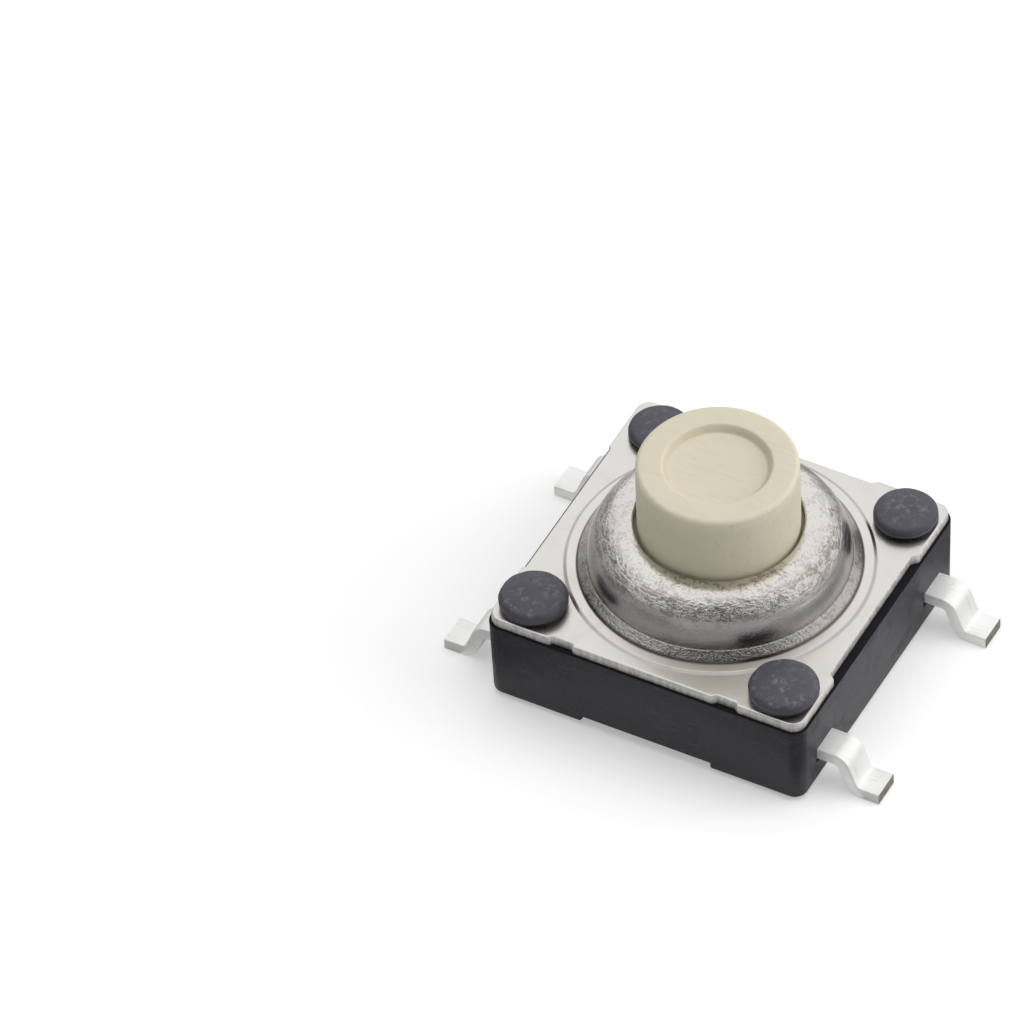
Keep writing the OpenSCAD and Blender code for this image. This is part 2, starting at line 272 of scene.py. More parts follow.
class Finishes(bpy.types.PropertyGroup):
    """Colours of the finishes"""
    moulding: colour("Moulding", "Black of the moulded base", 0.0150, 0.0144, 0.0195)
    # Worn moulding is the colour of the scuffs and also of the painted reflection of the leads
    moulding_wear_and_sheen: colour("Worn moulding", "Greyer black of its scuffs", 0.060, 0.058, 0.074)
    head: colour("Staked head", "Dark grey of the heat-formed heads", 0.045, 0.044, 0.060)
    head_speck: colour("Head specks", "Lighter specks on the heads", 0.24, 0.24, 0.27)
    # Painted shadow below the heads' lips
    head_shadow: colour("Under the heads", "Red-brown black below their lips", 0.012, 0.004, 0.005)
    nickel: colour("Nickel", "Warm grey of the plated cover", 0.75, 0.73, 0.70)
    sheared: colour("Sheared edge", "Pale grey of the sheet's cut side", 0.80, 0.785, 0.75)
    # Painted shade: the darker grey that the dome's wall is painted in
    nickel_wall_shade: colour("Drawn nickel", "Darker grey of the dome's stretched wall",
                         0.50, 0.485, 0.465)
    # Nickel stain serves real stains and also painted shade and painted reflections on the cover
    nickel_stain_and_shade: colour("Nickel stain", "Browner grey where the sheet was stretched",
                         0.27, 0.235, 0.21)
    ivory: colour("Ivory", "Pale yellow of the plunger", 0.755, 0.70, 0.555)
    # Deep ivory serves the flow marks and the painted shade on the plunger's side and dish edge
    ivory_flow_and_shade: colour("Deep ivory", "Darker flow marks in the plunger", 0.62, 0.55, 0.40)
    tin: colour("Tin", "Bright plating of the leads", 0.97, 0.965, 0.95)
    tin_dull: colour("Dull tin", "Duller streaks in the plating", 0.66, 0.65, 0.62)
    bare_cut: colour("Bare cut", "Bare alloy where the leads were cut off", 0.47, 0.43, 0.31)
    rubber: colour("Rubber", "Dark grey of the seal", 0.05, 0.048, 0.045)
    spring: colour("Spring steel", "Grey of the snap disc", 0.62, 0.61, 0.59)


class StageSettings(bpy.types.PropertyGroup):
    """Camera, lamps and floor"""
    lens_mm: FloatProperty(name="Lens", description="Focal length in millimetres",
                           default=509.78, min=1, subtype="DISTANCE_CAMERA")
    eye: FloatVectorProperty(name="Eye", description="Place of the camera", unit="LENGTH",
                             subtype="TRANSLATION", precision=6,
                             default=(90.263 * MM, -166.917 * MM, 199.211 * MM))
    floor_size: length("Floor", "Side of the floor", 4000)
    sky: share("Sky", "Strength of the surrounding light on matt surfaces", 0.45)
    key_w: power("Key lamp", "Power of the lamp behind on the right", 1.45)
    key_size: length("Key lamp size", "Side of that lamp", 450)
    top_w: power("Top lamp", "Power of the lamp overhead", 1.2)
    top_size: length("Top lamp size", "Side of that lamp", 600)
    surround_r: length("Surround radius", "Radius of the grey wall behind the camera", 600)
    surround_h: length("Surround height", "Height of that wall", 420)
    surround_tone: share("Surround tone", "How much light that wall gives back", 0.78)
    left_tone: share("Left tone", "The same for its left part", 0.45)
    tray_in: length("Tray hole", "Inner radius of the grey ring on the table", 5)
    tray_tone: share("Tray tone", "How much light that ring gives back", 0.45)
    hood_w: length("Hood width", "Half width of the dark hood round the lens", 450)
    hood_h: length("Hood height", "Half height of the dark hood round the lens", 180)
    floor_albedo: share("Floor tone", "How much light the floor gives back", 0.80)
    floor_fill: share("Floor fill", "Light that the floor shows by itself", 0.36)
    fade_start: length("Fade start", "Where the floor starts to turn plain white", 12)
    fade_end: length("Fade end", "Where the floor is plain white", 60)


# Small helpers for outlines and meshes

def arc(cx, cy, radius, start, end, steps=None):
    """Points on an arc about (cx, cy), from angle start to angle end, in degrees."""
    steps = steps or max(2, math.ceil(abs(end - start) / ARC_TURN))
    turns = [math.radians(start + (end - start) * i / steps) for i in range(steps + 1)]
    return [(cx + radius * math.cos(a), cy + radius * math.sin(a)) for a in turns]


def filleted(corners, closed=False):
    """An outline through corners (x, y, radius), each rounded by its own radius."""
    points = []
    count = len(corners)
    for i, (x, y, radius) in enumerate(corners):
        here = Vector((x, y))
        if radius <= 0 or (not closed and i in (0, count - 1)):
            points.append((x, y))
            continue
        back = Vector(corners[i - 1][:2]) - here
        ahead = Vector(corners[(i + 1) % count][:2]) - here
        opening = back.angle(ahead)
        rooms = [side.length / (2.02 if corners[j % count][2] > 0 else 1)
                 for side, j in ((back, i - 1), (ahead, i + 1))]
        reach = min(radius / math.tan(opening / 2), *rooms)
        radius = reach * math.tan(opening / 2)
        middle = (back.normalized() + ahead.normalized()).normalized()
        centre = here + middle * radius / math.sin(opening / 2)
        first = here + back.normalized() * reach - centre
        last = here + ahead.normalized() * reach - centre
        turn = first.angle_signed(last)
        steps = max(1, math.ceil(abs(math.degrees(turn)) / ARC_TURN))
        for k in range(steps + 1):
            spoke = Matrix.Rotation(-turn * k / steps, 2) @ first
            points.append((centre.x + spoke.x, centre.y + spoke.y))
    return points


def rounded_rect(width, depth, radius):
    """A rectangle round the origin with rounded corners, anticlockwise."""
    x, y = width / 2, depth / 2
    return filleted([(-x, -y, radius), (x, -y, radius), (x, y, radius), (-x, y, radius)], True)


def circle(radius, steps, at=(0, 0)):
    """A circle of points, anticlockwise from the +X side."""
    turns = [math.tau * i / steps for i in range(steps)]
    return [(at[0] + radius * math.cos(a), at[1] + radius * math.sin(a)) for a in turns]


def inset(outline, distance):
    """The outline moved inwards by distance, mitred at its corners."""
    if distance == 0:
        return list(outline)
    moved = []
    count = len(outline)
    for i in range(count):
        here = Vector(outline[i])
        back = (here - Vector(outline[i - 1])).normalized()
        ahead = (Vector(outline[(i + 1) % count]) - here).normalized()
        normal = Vector((-back.y - ahead.y, back.x + ahead.x)).normalized()
        lean = max(0.3, normal.dot(Vector((-back.y, back.x))))
        moved.append(tuple(here + normal * distance / lean))
    return moved


def skirt(bm, outline, levels):
    """A wall along outline, one row of points per (inset, z) of levels. Gives the rows back."""
    rows = [[bm.verts.new((x, y, z)) for x, y in inset(outline, d)] for d, z in levels]
    count = len(outline)
    for low, high in zip(rows, rows[1:]):
        for i in range(count):
            j = (i + 1) % count
            bm.faces.new((low[i], low[j], high[j], high[i]))
    return rows


def cap(bm, loops):
    """Fills the flat space between an outer loop of points and the holes inside it."""
    points = [v for loop in loops for v in loop]
    edges = []
    start = 0
    for loop in loops:
        count = len(loop)
        edges += [(start + i, start + (i + 1) % count) for i in range(count)]
        start += count
    flat = [Vector((v.co.x, v.co.y)) / MM for v in points]
    made, _, faces, source, _, _ = delaunay_2d_cdt(flat, edges, [], 1, 1e-7)
    holes = [[Vector((v.co.x, v.co.y)) / MM for v in loop] for loop in loops[1:]]
    for face in faces:
        middle = sum((made[i] for i in face), Vector((0, 0))) / len(face)
        if not any(inside(middle, hole) for hole in holes):
            bm.faces.new([points[source[i][0]] for i in face])


def inside(point, outline):
    """Whether a point lies inside an outline."""
    odd = False
    for a, b in zip(outline, outline[1:] + outline[:1]):
        if (a.y > point.y) != (b.y > point.y):
            if point.x < a.x + (b.x - a.x) * (point.y - a.y) / (b.y - a.y):
                odd = not odd
    return odd


def finish_mesh(bm, name, smooth=SMOOTH):
    """Welds a mesh, points its faces outwards, makes it an object and shades it smooth."""
    bmesh.ops.remove_doubles(bm, verts=bm.verts, dist=WELD)
    bmesh.ops.recalc_face_normals(bm, faces=bm.faces)
    for edge in bm.edges:
        edge.smooth = len(edge.link_faces) < 2 or edge.calc_face_angle(0) < smooth
    for face in bm.faces:
        face.smooth = True
    mesh = bpy.data.meshes.new(name)
    bm.to_mesh(mesh)
    bm.free()
    return link(name, mesh)


def link(name, mesh):
    """An object at the origin that shows mesh."""
    made = bpy.data.objects.new(name, mesh)
    bpy.context.scene.collection.objects.link(made)
    return made


def prism(name, outline, low, high):
    """A closed block of outline from height low to height high."""
    bm = bmesh.new()
    rows = skirt(bm, outline, [(0, low), (0, high)])
    cap(bm, [rows[0]])
    cap(bm, [rows[1]])
    return finish_mesh(bm, name)


def box_outline(x0, y0, x1, y1):
    """A rectangle from its lowest to its highest corner, anticlockwise."""
    return [(x0, y0), (x1, y0), (x1, y1), (x0, y1)]


def baked(made):
    """Turns the evaluated object into a plain mesh, without its modifiers."""
    graph = bpy.context.evaluated_depsgraph_get()
    mesh = bpy.data.meshes.new_from_object(made.evaluated_get(graph), depsgraph=graph)
    made.modifiers.clear()
    old = made.data
    made.data = mesh
    mesh.name = made.name
    bpy.data.meshes.remove(old)
    return made


def combine(made, others, operation):
    """Cuts others out of made, or joins them to it, and removes them."""
    for other in others:
        step = made.modifiers.new(other.name, "BOOLEAN")
        step.operation = operation
        step.solver = "EXACT"
        step.object = other
        baked(made)
        bpy.data.objects.remove(other)
    return made


def soften(made, width, segments=2, limit=math.radians(40)):
    """Bevels the sharp edges of a finished solid and shades it smooth."""
    bm = bmesh.new()
    bm.from_mesh(made.data)
    bmesh.ops.remove_doubles(bm, verts=bm.verts, dist=WELD)
    bmesh.ops.dissolve_limit(bm, angle_limit=math.radians(0.5), verts=bm.verts, edges=bm.edges)
    bm.to_mesh(made.data)
    bm.free()
    bevel = made.modifiers.new("Edges", "BEVEL")
    bevel.width = width
    bevel.segments = segments
    bevel.limit_method = "ANGLE"
    bevel.angle_limit = limit
    bevel.use_clamp_overlap = False
    bevel.harden_normals = True
    made.data.shade_smooth()
    return baked(made)


# Small helpers for nodes

class Value:
    """The value of a node's socket, which takes the usual signs of sums."""

    def __init__(self, socket):
        self.socket = socket
        self.tree = socket.id_data

    def math(self, operation, *others):
        """The result of one sum that starts with this value."""
        return value(self.tree, "ShaderNodeMath", dict(enumerate((self, *others))),
                     operation=operation)

    def __add__(self, other):
        return self.math("ADD", other)

    def __sub__(self, other):
        return self.math("SUBTRACT", other)

    def __mul__(self, other):
        return self.math("MULTIPLY", other)

    def __truediv__(self, other):
        return self.math("DIVIDE", other)

    def __rsub__(self, other):
        return value(self.tree, "ShaderNodeMath", {0: other, 1: self}, operation="SUBTRACT")

    def __rtruediv__(self, other):
        return value(self.tree, "ShaderNodeMath", {0: other, 1: self}, operation="DIVIDE")

    def __abs__(self):
        return self.math("ABSOLUTE")

    def ramp(self, low, high, start=0.0, end=1.0):
        """Runs smoothly from start to end as the value goes from low to high."""
        return value(self.tree, "ShaderNodeMapRange", {
            "Value": self, "From Min": low, "From Max": high, "To Min": start, "To Max": end},
            "Result", interpolation_type="SMOOTHSTEP")

    def fade(self, level, first, last, start=0.0, end=1.0):
        """The same between two places, in millimetres from level."""
        return self.ramp(level + first * MM, level + last * MM, start, end)

    def band(self, level, rise, full, fall, end):
        """A soft mask about a level: its four edges are in millimetres from that level."""
        return self.fade(level, rise, full) * self.fade(level, end, fall)

    def axes(self):
        """The three parts of a place."""
        return [Value(part) for part in
                node(self.tree, "ShaderNodeSeparateXYZ", {0: self}).outputs]

    def radius(self):
        """Distance of a place from the plunger's axis."""
        x, y, _ = self.axes()
        return (x * x + y * y).math("SQRT")

    def stretched(self, scale, turn=(0, 0, 0)):
        """Turned and scaled coordinates, for marks that run one way."""
        return value(self.tree, "ShaderNodeMapping", {
            "Vector": self, "Rotation": turn, "Scale": scale})

    def noise(self, size, detail=2.0, roughness=0.5, lacunarity=2.0, distortion=0.0):
        """Noise at these coordinates, with features of about the given size in metres."""
        return value(self.tree, "ShaderNodeTexNoise", {
            "Vector": self, "Scale": 1.0 / size, "Detail": detail, "Roughness": roughness,
            "Lacunarity": lacunarity, "Distortion": distortion}, "Fac", noise_dimensions="3D")

    def tint(self, first, last):
        """A colour that goes from first to last as the value goes from nought to one."""
        return value(self.tree, "ShaderNodeMix", {"Factor": self, 6: first, 7: last}, 2,
                     data_type="RGBA")

    def bumped(self, distance, strength=1.0):
        """A normal from this height, where distance is the relief in metres."""
        return value(self.tree, "ShaderNodeBump", {
            "Height": self, "Distance": distance, "Strength": strength}, "Normal")


def feed(socket, given):
    """Links a value to a socket, or sets a plain number, colour or name there."""
    if isinstance(given, Value):
        given.tree.links.new(given.socket, socket)
    else:
        socket.default_value = given


def node(tree, kind, inputs=None, **settings):
    """Adds a node with its settings and feeds its inputs, by name or by number."""
    made = tree.nodes.new(kind)
    for name, setting in settings.items():
        setattr(made, name, setting)
    for name, given in (inputs or {}).items():
        feed(made.inputs[name], given)
    return made


def value(tree, kind, inputs=None, result=0, **settings):
    """Adds a node and gives back one of its results, by name or by number."""
    return Value(node(tree, kind, inputs, **settings).outputs[result])


SOCKET_KINDS = {int: "Int", float: "Float", tuple: "Vector"}


def sockets(tree, inputs, results):
    """Names a group's inputs and results. An input without a value is of the kind it is named."""
    for name, default in inputs.items():
        kind = SOCKET_KINDS.get(type(default), name)
        made = tree.interface.new_socket(name, in_out="INPUT", socket_type="NodeSocket" + kind)
        if default is not None:
            made.default_value = default
    for name, kind in results.items():
        tree.interface.new_socket(name, in_out="OUTPUT", socket_type="NodeSocket" + kind)
    start, end = tree.nodes.new("NodeGroupInput"), tree.nodes.new("NodeGroupOutput")
    return {name: Value(start.outputs[name]) for name in inputs}, end.inputs


def geometry_group(name, sizes):
    """Marks the builder of a Geometry Nodes tree, which is made when it is first asked for.

    The tree takes a geometry, its sizes and a finish, and ends in one real mesh in that finish.
    """
    def wrap(build):
        def group():
            if name in bpy.data.node_groups:
                return bpy.data.node_groups[name]
            tree = bpy.data.node_groups.new(name, "GeometryNodeTree")
            given, end = sockets(tree, {"Geometry": None, **sizes, "Material": None},
                                 {"Geometry": "Geometry"})
            whole = value(tree, "GeometryNodeRealizeInstances", {0: build(tree, given)})
            feed(end["Geometry"], value(tree, "GeometryNodeSetMaterial", {
                "Geometry": whole, "Material": given["Material"]}))
            return tree
        return group
    return wrap


def run_nodes(made, tree, values):
    """Runs a Geometry Nodes tree on an object with its named inputs, and bakes the result."""
    step = made.modifiers.new(tree.name, "NODES")
    step.node_group = tree
    for item in tree.interface.items_tree:
        if item.item_type == "SOCKET" and item.in_out == "INPUT" and item.name in values:
            step[item.identifier] = values[item.name]
    return baked(made)


# Geometry Nodes trees

@geometry_group("Turned Part", {"Steps": 96})
def turned_tree(tree, given):
    """Turns a half section, drawn in the XZ plane, about the Z axis."""
    profile, steps = given["Geometry"], given["Steps"]
    count = value(tree, "GeometryNodeAttributeDomainSize", {"Geometry": profile}, "Point Count",
                  component="MESH")
    grid = value(tree, "GeometryNodeMeshGrid", {
        "Vertices X": steps + 1, "Vertices Y": count}, "Mesh")
    index = value(tree, "GeometryNodeInputIndex")
    column = (index / count).math("FLOOR")
    x, _, z = value(tree, "GeometryNodeSampleIndex", {
        "Geometry": profile, "Value": value(tree, "GeometryNodeInputPosition"),
        "Index": index - column * count}, data_type="FLOAT_VECTOR", domain="POINT").axes()
    turn = column * math.tau / steps
    spot = value(tree, "ShaderNodeCombineXYZ", {
        "X": x * turn.math("COSINE"), "Y": x * turn.math("SINE"), "Z": z})
    moved = value(tree, "GeometryNodeSetPosition", {"Geometry": grid, "Position": spot})
    return value(tree, "GeometryNodeMergeByDistance", {"Geometry": moved, "Distance": WELD})


@geometry_group("Staked Heads", {"Pitch X": 0.005, "Pitch Y": 0.005, "Spread": 0.0,
                                 "Wander": 0.0, "Wander Size": 0.001, "Seed": 0})
def staked_tree(tree, given):
    """Sets a head on each of the four posts and lets its size and rim wander, as staking does."""
    grid = value(tree, "GeometryNodeMeshGrid", {
        "Size X": given["Pitch X"], "Size Y": given["Pitch Y"],
        "Vertices X": 2, "Vertices Y": 2}, "Mesh")
    wide = value(tree, "FunctionNodeRandomValue", {
        2: 1.0 - given["Spread"], 3: given["Spread"] + 1.0, "Seed": given["Seed"]}, 1,
        data_type="FLOAT")
    grown = value(tree, "ShaderNodeCombineXYZ", {
        "X": wide, "Y": wide, "Z": wide * 0.3 + 0.7})
    spin = value(tree, "FunctionNodeRandomValue", {
        "Min": (0, 0, 0), "Max": (0, 0, math.tau), "Seed": given["Seed"]},
        data_type="FLOAT_VECTOR")
    heads = value(tree, "GeometryNodeInstanceOnPoints", {
        "Points": grid, "Instance": given["Geometry"], "Rotation": spin, "Scale": grown})
    whole = value(tree, "GeometryNodeRealizeInstances", {0: heads})
    noise = value(tree, "ShaderNodeTexNoise", {
        "Vector": value(tree, "GeometryNodeInputPosition"),
        "Scale": 1.0 / given["Wander Size"], "Detail": 2.0}, "Color", noise_dimensions="3D")
    centred = value(tree, "ShaderNodeVectorMath", {0: noise, 1: (0.5, 0.5, 0.5)},
                    operation="SUBTRACT")
    push = value(tree, "ShaderNodeVectorMath", {0: centred, "Scale": given["Wander"]},
                 operation="SCALE")
    flat = value(tree, "ShaderNodeVectorMath", {0: push, 1: (1, 1, 0.35)}, operation="MULTIPLY")
    return value(tree, "GeometryNodeSetPosition", {"Geometry": whole, "Offset": flat})


@geometry_group("Formed Strip", {"Width": 0.001, "Thickness": 0.001, "Edge Radius": 0.0,
                                 "Row": 0.0})
def strip_tree(tree, given):
    """Sweeps a strip with rounded edges along a formed path, as a terminal frame is formed."""
    path = value(tree, "GeometryNodeMeshToCurve", {"Mesh": given["Geometry"]})
    section = value(tree, "GeometryNodeCurvePrimitiveQuadrilateral", {
        "Width": given["Width"], "Height": given["Thickness"]})
    eased = value(tree, "GeometryNodeFilletCurve", {
        "Curve": section, "Count": 3, "Radius": given["Edge Radius"]}, mode="POLY")
    swept = value(tree, "GeometryNodeCurveToMesh", {
        "Curve": path, "Profile Curve": eased, "Fill Caps": True})
    shift = value(tree, "ShaderNodeCombineXYZ", {"Y": given["Row"]})
    return value(tree, "GeometryNodeTransform", {"Geometry": swept, "Translation": shift})


def chain(name, points):
    """An object whose mesh is an open chain of edges in the XZ plane."""
    mesh = bpy.data.meshes.new(name)
    edges = [(i, i + 1) for i in range(len(points) - 1)]
    mesh.from_pydata([(x, 0, z) for x, z in points], edges, [])
    return link(name, mesh)


def rebuilt(made, finish):
    """Welds a piece's mesh again, with its faces outwards and in one finish."""
    name = made.name
    bm = bmesh.new()
    bm.from_mesh(made.data)
    bpy.data.objects.remove(made)
    return dress(finish_mesh(bm, name), finish)


def turned(name, section, steps, finish):
    """A turned part from the half section, with welded poles and outward faces."""
    return rebuilt(run_nodes(chain(name, section), turned_tree(), {
        "Steps": steps, "Material": material(finish)}), finish)


def dress(made, *finishes):
    """Gives a piece its finishes, with the first of them on every face."""
    made.data.materials.clear()
    for finish in finishes:
        made.data.materials.append(material(finish))
    for face in made.data.polygons:
        face.material_index = 0
    return made


# Effects that several finishes share

def effect(name, sizes, results):
    """Marks the builder of a shader group. The marked function places the group's node.

    The group is built once. Each finish places it at its own coordinates with its own sizes.
    """
    def wrap(build):
        def place(here, **values):
            group = bpy.data.node_groups.get(name)
            if group is None:
                group = bpy.data.node_groups.new(name, "ShaderNodeTree")
                given, end = sockets(group, {"Vector": None, **sizes},
                                     {result: "Float" for result in results})
                for result, made in zip(results, build(*given.values())):
                    feed(end[result], made)
            made = node(here.tree, "ShaderNodeGroup", {"Vector": here, **values},
                        node_tree=group)
            return [Value(made.outputs[result]) for result in results]
        return place
    return wrap


@effect("Satin Grain", {"Size": 0.05 * MM, "Stretch": (1, 1, 1)}, ("Height", "Flecks"))
def satin_grain(here, size, stretch):
    """Fine satin grain: a soft height, and a mask of its brighter flecks."""
    here = here.stretched(stretch)
    fine = here.noise(size, 3.0, 0.62)
    coarse = here.noise(size * 3.7, 2.0)
    return fine * 0.6 + coarse * 0.4, fine.ramp(0.52, 0.72)


@effect("Handling Scuffs", {"Size": 0.3 * MM}, ("Scratches", "Clouds"))
def handling_scuffs(here, size):
    """Handling marks: thin crossing scratches, and the soft cloudy patches that they lie in."""
    marks = None
    for turn, stretch in ((0.4, (1, 14, 14)), (1.3, (14, 1, 14)), (2.3, (1, 18, 6))):
        line = here.stretched(stretch, (0, 0.3 * turn, turn)).noise(size * 2.2, 1.0)
        thin = line.ramp(0.66, 0.74)
        marks = thin if marks is None else marks.math("MAXIMUM", thin)
    clouds = here.noise(size * 2.6, 4.0, 0.62, 2.2, 0.6).ramp(0.42, 0.7)
    return marks * clouds, clouds


@effect("Drawn Lines", {"Size": 0.5 * MM, "Stretch": (1, 10, 1), "Roughness": 0.6}, ("Lines",))
def drawn_lines(here, size, stretch, roughness):
    """Lines of rolling, drawing or shearing: noise squeezed across the way that they run."""
    return [here.stretched(stretch).noise(size, 3.0, roughness)]


# Finishes

MAKERS = {}


def finish_named(name):
    """Marks the builder of a finish: it gives the surface shader's inputs from the object's
    own coordinates and the panel's colours."""
    def wrap(build):
        MAKERS[name] = build
        return build
    return wrap


def blank_material(name):
    """A node material with nothing but its output."""
    made = bpy.data.materials.new(name)
    made.use_nodes = True
    tree = made.node_tree
    tree.nodes.clear()
    return made, tree, node(tree, "ShaderNodeOutputMaterial").inputs["Surface"]


def material(name):
    """The named finish, made when it is first asked for."""
    if name in bpy.data.materials:
        return bpy.data.materials[name]
    made, tree, surface = blank_material(name)
    here = value(tree, "ShaderNodeTexCoord", None, "Object")
    inputs = MAKERS[name](here, bpy.context.scene.switch_finishes)
    feed(surface, value(tree, "ShaderNodeBsdfPrincipled", inputs))
    return made


@finish_named("Black Moulding")
def black_moulding(here, tones):
    """Black moulded plastic with handling scuffs, a painted reflection of the leads on the walls
    where they leave it, and painted shade on the edge under the cover.
    """
    scratches, clouds = handling_scuffs(here, Size=0.22 * MM)
    height, flecks = satin_grain(here, Size=0.045 * MM)
    x, y, z = here.axes()
    # Painted reflection of the leads: the wall round each lead's root is painted lighter
    beside_lead = abs(abs(y) - bpy.context.scene.switch_leads.row_y)
    lead_reflection = (beside_lead.fade(0, 0.75, 0.25) * z.band(0, 0.75, 0.95, 1.2, 1.8)
              * abs(x).fade(BASE_HIGH.x, -0.15, -0.04))
    # Painted shade: the edge under the cover is kept plain black and less glossy
    shade_under_cover = z.fade(BASE_TOP, -0.020, -0.004)
    # Real scuffs and grain, together with the painted lead reflection
    wear_and_sheen = flecks * 0.22 + lead_reflection * 0.35 + clouds * 0.30 + scratches * 0.7
    return {"Base Color": (wear_and_sheen * (1.0 - shade_under_cover)).tint(tones.moulding, tones.moulding_wear_and_sheen),
            "Specular IOR Level": shade_under_cover * -0.28 + 0.30,
            "Roughness": clouds.ramp(0, 1, 0.38, 0.52),
            "Normal": (height - scratches * 0.5).bumped(0.007 * MM, 0.8)}


@finish_named("Staked Plastic")
def staked_plastic(here, tones):
    """The same plastic, melted and pressed: rougher, greyer and speckled, with a painted highlight on
    the thin lip and painted shadow below it.
    """
    height, _ = satin_grain(here, Size=0.075 * MM)
    patches = here.noise(0.30 * MM, 3.0, 0.6)
    z = here.axes()[2]
    plate = BASE_TOP + bpy.context.scene.switch_cover.sheet_t
    # Painted highlight: a thin lighter line along the lip
    lip = z.band(plate, 0.085, 0.1, 0.115, 0.13)
    # Painted shadow: the head's side below the lip is painted red-brown black
    under = z.fade(plate, 0.105, 0.085)
    crown = z.fade(BASE_HIGH.z, 0.01, 0.10)
    specks = here.noise(0.16 * MM, 4.0, 0.7).ramp(0.46, 0.70) * crown * patches.ramp(0.34, 0.62)
    light = (specks * 0.6 + height * 0.2).math("MAXIMUM", lip * 0.6)
    return {"Base Color": under.tint(light.tint(tones.head, tones.head_speck), tones.head_shadow),
            "Roughness": patches.ramp(0.3, 0.7, 0.40, 0.55),
            "Normal": height.bumped(0.02 * MM, 0.9)}


@finish_named("Satin Nickel")
def satin_nickel(here, tones):
    """Satin nickel plate: smooth on the plate, peened and stained where the dome was drawn, with
    painted shade on the dome's wall, at its foot and at the ring's step, and a painted reflection of
    the plunger on the collar.
    """
    size = bpy.context.scene.switch_cover
    x, y, z = here.axes()
    radius = here.radius()
    top, foot_r = COVER_HIGH.z, size.dome_r + size.bead_w
    fine, _ = satin_grain(here, Size=0.03 * MM)
    peened, _ = satin_grain(here, Size=0.055 * MM, Stretch=(1, 1, 1.6))
    wrinkle, _ = satin_grain(here, Size=0.10 * MM, Stretch=(1, 1, 3.2))
    scratches, clouds = handling_scuffs(here, Size=0.45 * MM)

    drawn = radius.fade(foot_r, 0, -0.03)
    # Painted shade at the dome's foot, where the bead drops to the ring
    foot = radius.band(foot_r, -0.055, -0.015, 0.010, 0.030)
    bead = radius.fade(size.dome_r, -0.02, 0.02) * radius.fade(foot_r, 0.005, -0.015)
    # Painted shade on the ring's small outer step
    ring_step_shade = radius.band(size.ring_top_r, -0.010, 0.025, 0.050, 0.085)
    bend = z.band(top, -0.50, -0.34, -0.20, -0.04)
    # Painted shade: the dome's wall is painted darker below the shoulder
    wall = drawn * z.fade(top, -0.30, -0.62)
    # Painted reflection of the plunger: brown specks on the collar's front side
    toward_front = x * PLUNGER_REFLECTION_SIDE[0] + y * PLUNGER_REFLECTION_SIDE[1]
    collar = radius.fade(size.hole_r, 0.435, 0.065) * toward_front.fade(0, 0.7, 1.6)

    relief = (fine * 0.5 + peened * drawn * 1.6 + wrinkle * bend * 7.0 + peened * bead * 3.0
              - scratches * 0.25)
    pits = peened.ramp(0.52, 0.38)
    cells = bend * wrinkle.ramp(0.53, 0.44)
    # Stains from pitting, wrinkles and clouds, with painted shade at the foot and ring step and the
    # painted plunger reflection
    stain_and_shade = (foot * 0.9 + ring_step_shade * 0.5 + pits * (collar * 0.75 + drawn * 0.30 + bead * 0.4)
             + cells * 0.6 + clouds * 0.10)
    return {"Base Color": stain_and_shade.tint(wall.tint(tones.nickel, tones.nickel_wall_shade),
                                     tones.nickel_stain_and_shade),
            "Metallic": 1.0,
            "Roughness": drawn * -0.13 + clouds.ramp(0, 1, 0.29, 0.33),
            "Normal": relief.bumped(0.006 * MM, 0.9)}


@finish_named("Sheared Edge")
def sheared_edge(here, tones):
    """The sheet's cut side: paler, dull and torn in short upright lines, with a painted reflection of
    the black base darker towards its lower side.
    """
    lines, = drawn_lines(here, Size=0.09 * MM, Stretch=(1, 1, 0.25), Roughness=0.65)
    top = BASE_TOP + bpy.context.scene.switch_cover.sheet_t
    # Painted reflection of the black base: darker towards the sheet's lower side
    low = here.axes()[2].ramp(top - 0.06 * MM, BASE_TOP, 0.0, 0.5)
    return {"Base Color": (lines.ramp(0.62, 0.40, 0.0, 0.35) + low).tint(tones.sheared,
                                                                        tones.nickel_stain_and_shade),
            "Metallic": 0.35,
            "Roughness": lines.ramp(0.3, 0.7, 0.42, 0.6),
            "Normal": lines.bumped(0.012 * MM, 0.6)}


@finish_named("Ivory Plastic")
def ivory_plastic(here, tones):
    """Ivory moulded plastic with faint flow lines, and painted shade that makes it deeper on its side
    and in the dish's edge.
    """
    flow = here.stretched((1.2, 11, 5), (0, 0, math.radians(28))).noise(
        0.9 * MM, 4.0, 0.6, 2.1, 0.4)
    height, flecks = satin_grain(here, Size=0.06 * MM)
    # Painted shade: the plunger's side is painted deeper below its top
    low = here.axes()[2].fade(PLUNGER_HIGH.z, -0.05, -0.45, 0.0, 0.3)
    # Painted shade in the dish's edge
    wall = here.radius().band(bpy.context.scene.switch_plunger.dish_r, -0.13, -0.09, -0.05, 0.01)
    flow_and_shade = flow.ramp(0.50, 0.70) * 0.24 + flecks * 0.2 + low + wall * 0.55
    return {"Base Color": flow_and_shade.tint(tones.ivory, tones.ivory_flow_and_shade),
            "Roughness": flow.ramp(0.3, 0.7, 0.48, 0.58),
            "Subsurface Weight": 0.12,
            "Subsurface Radius": (1.0, 0.8, 0.45),
            "Subsurface Scale": 0.25 * MM,
            "Normal": (height + flow * 0.8).bumped(0.006 * MM, 0.5)}


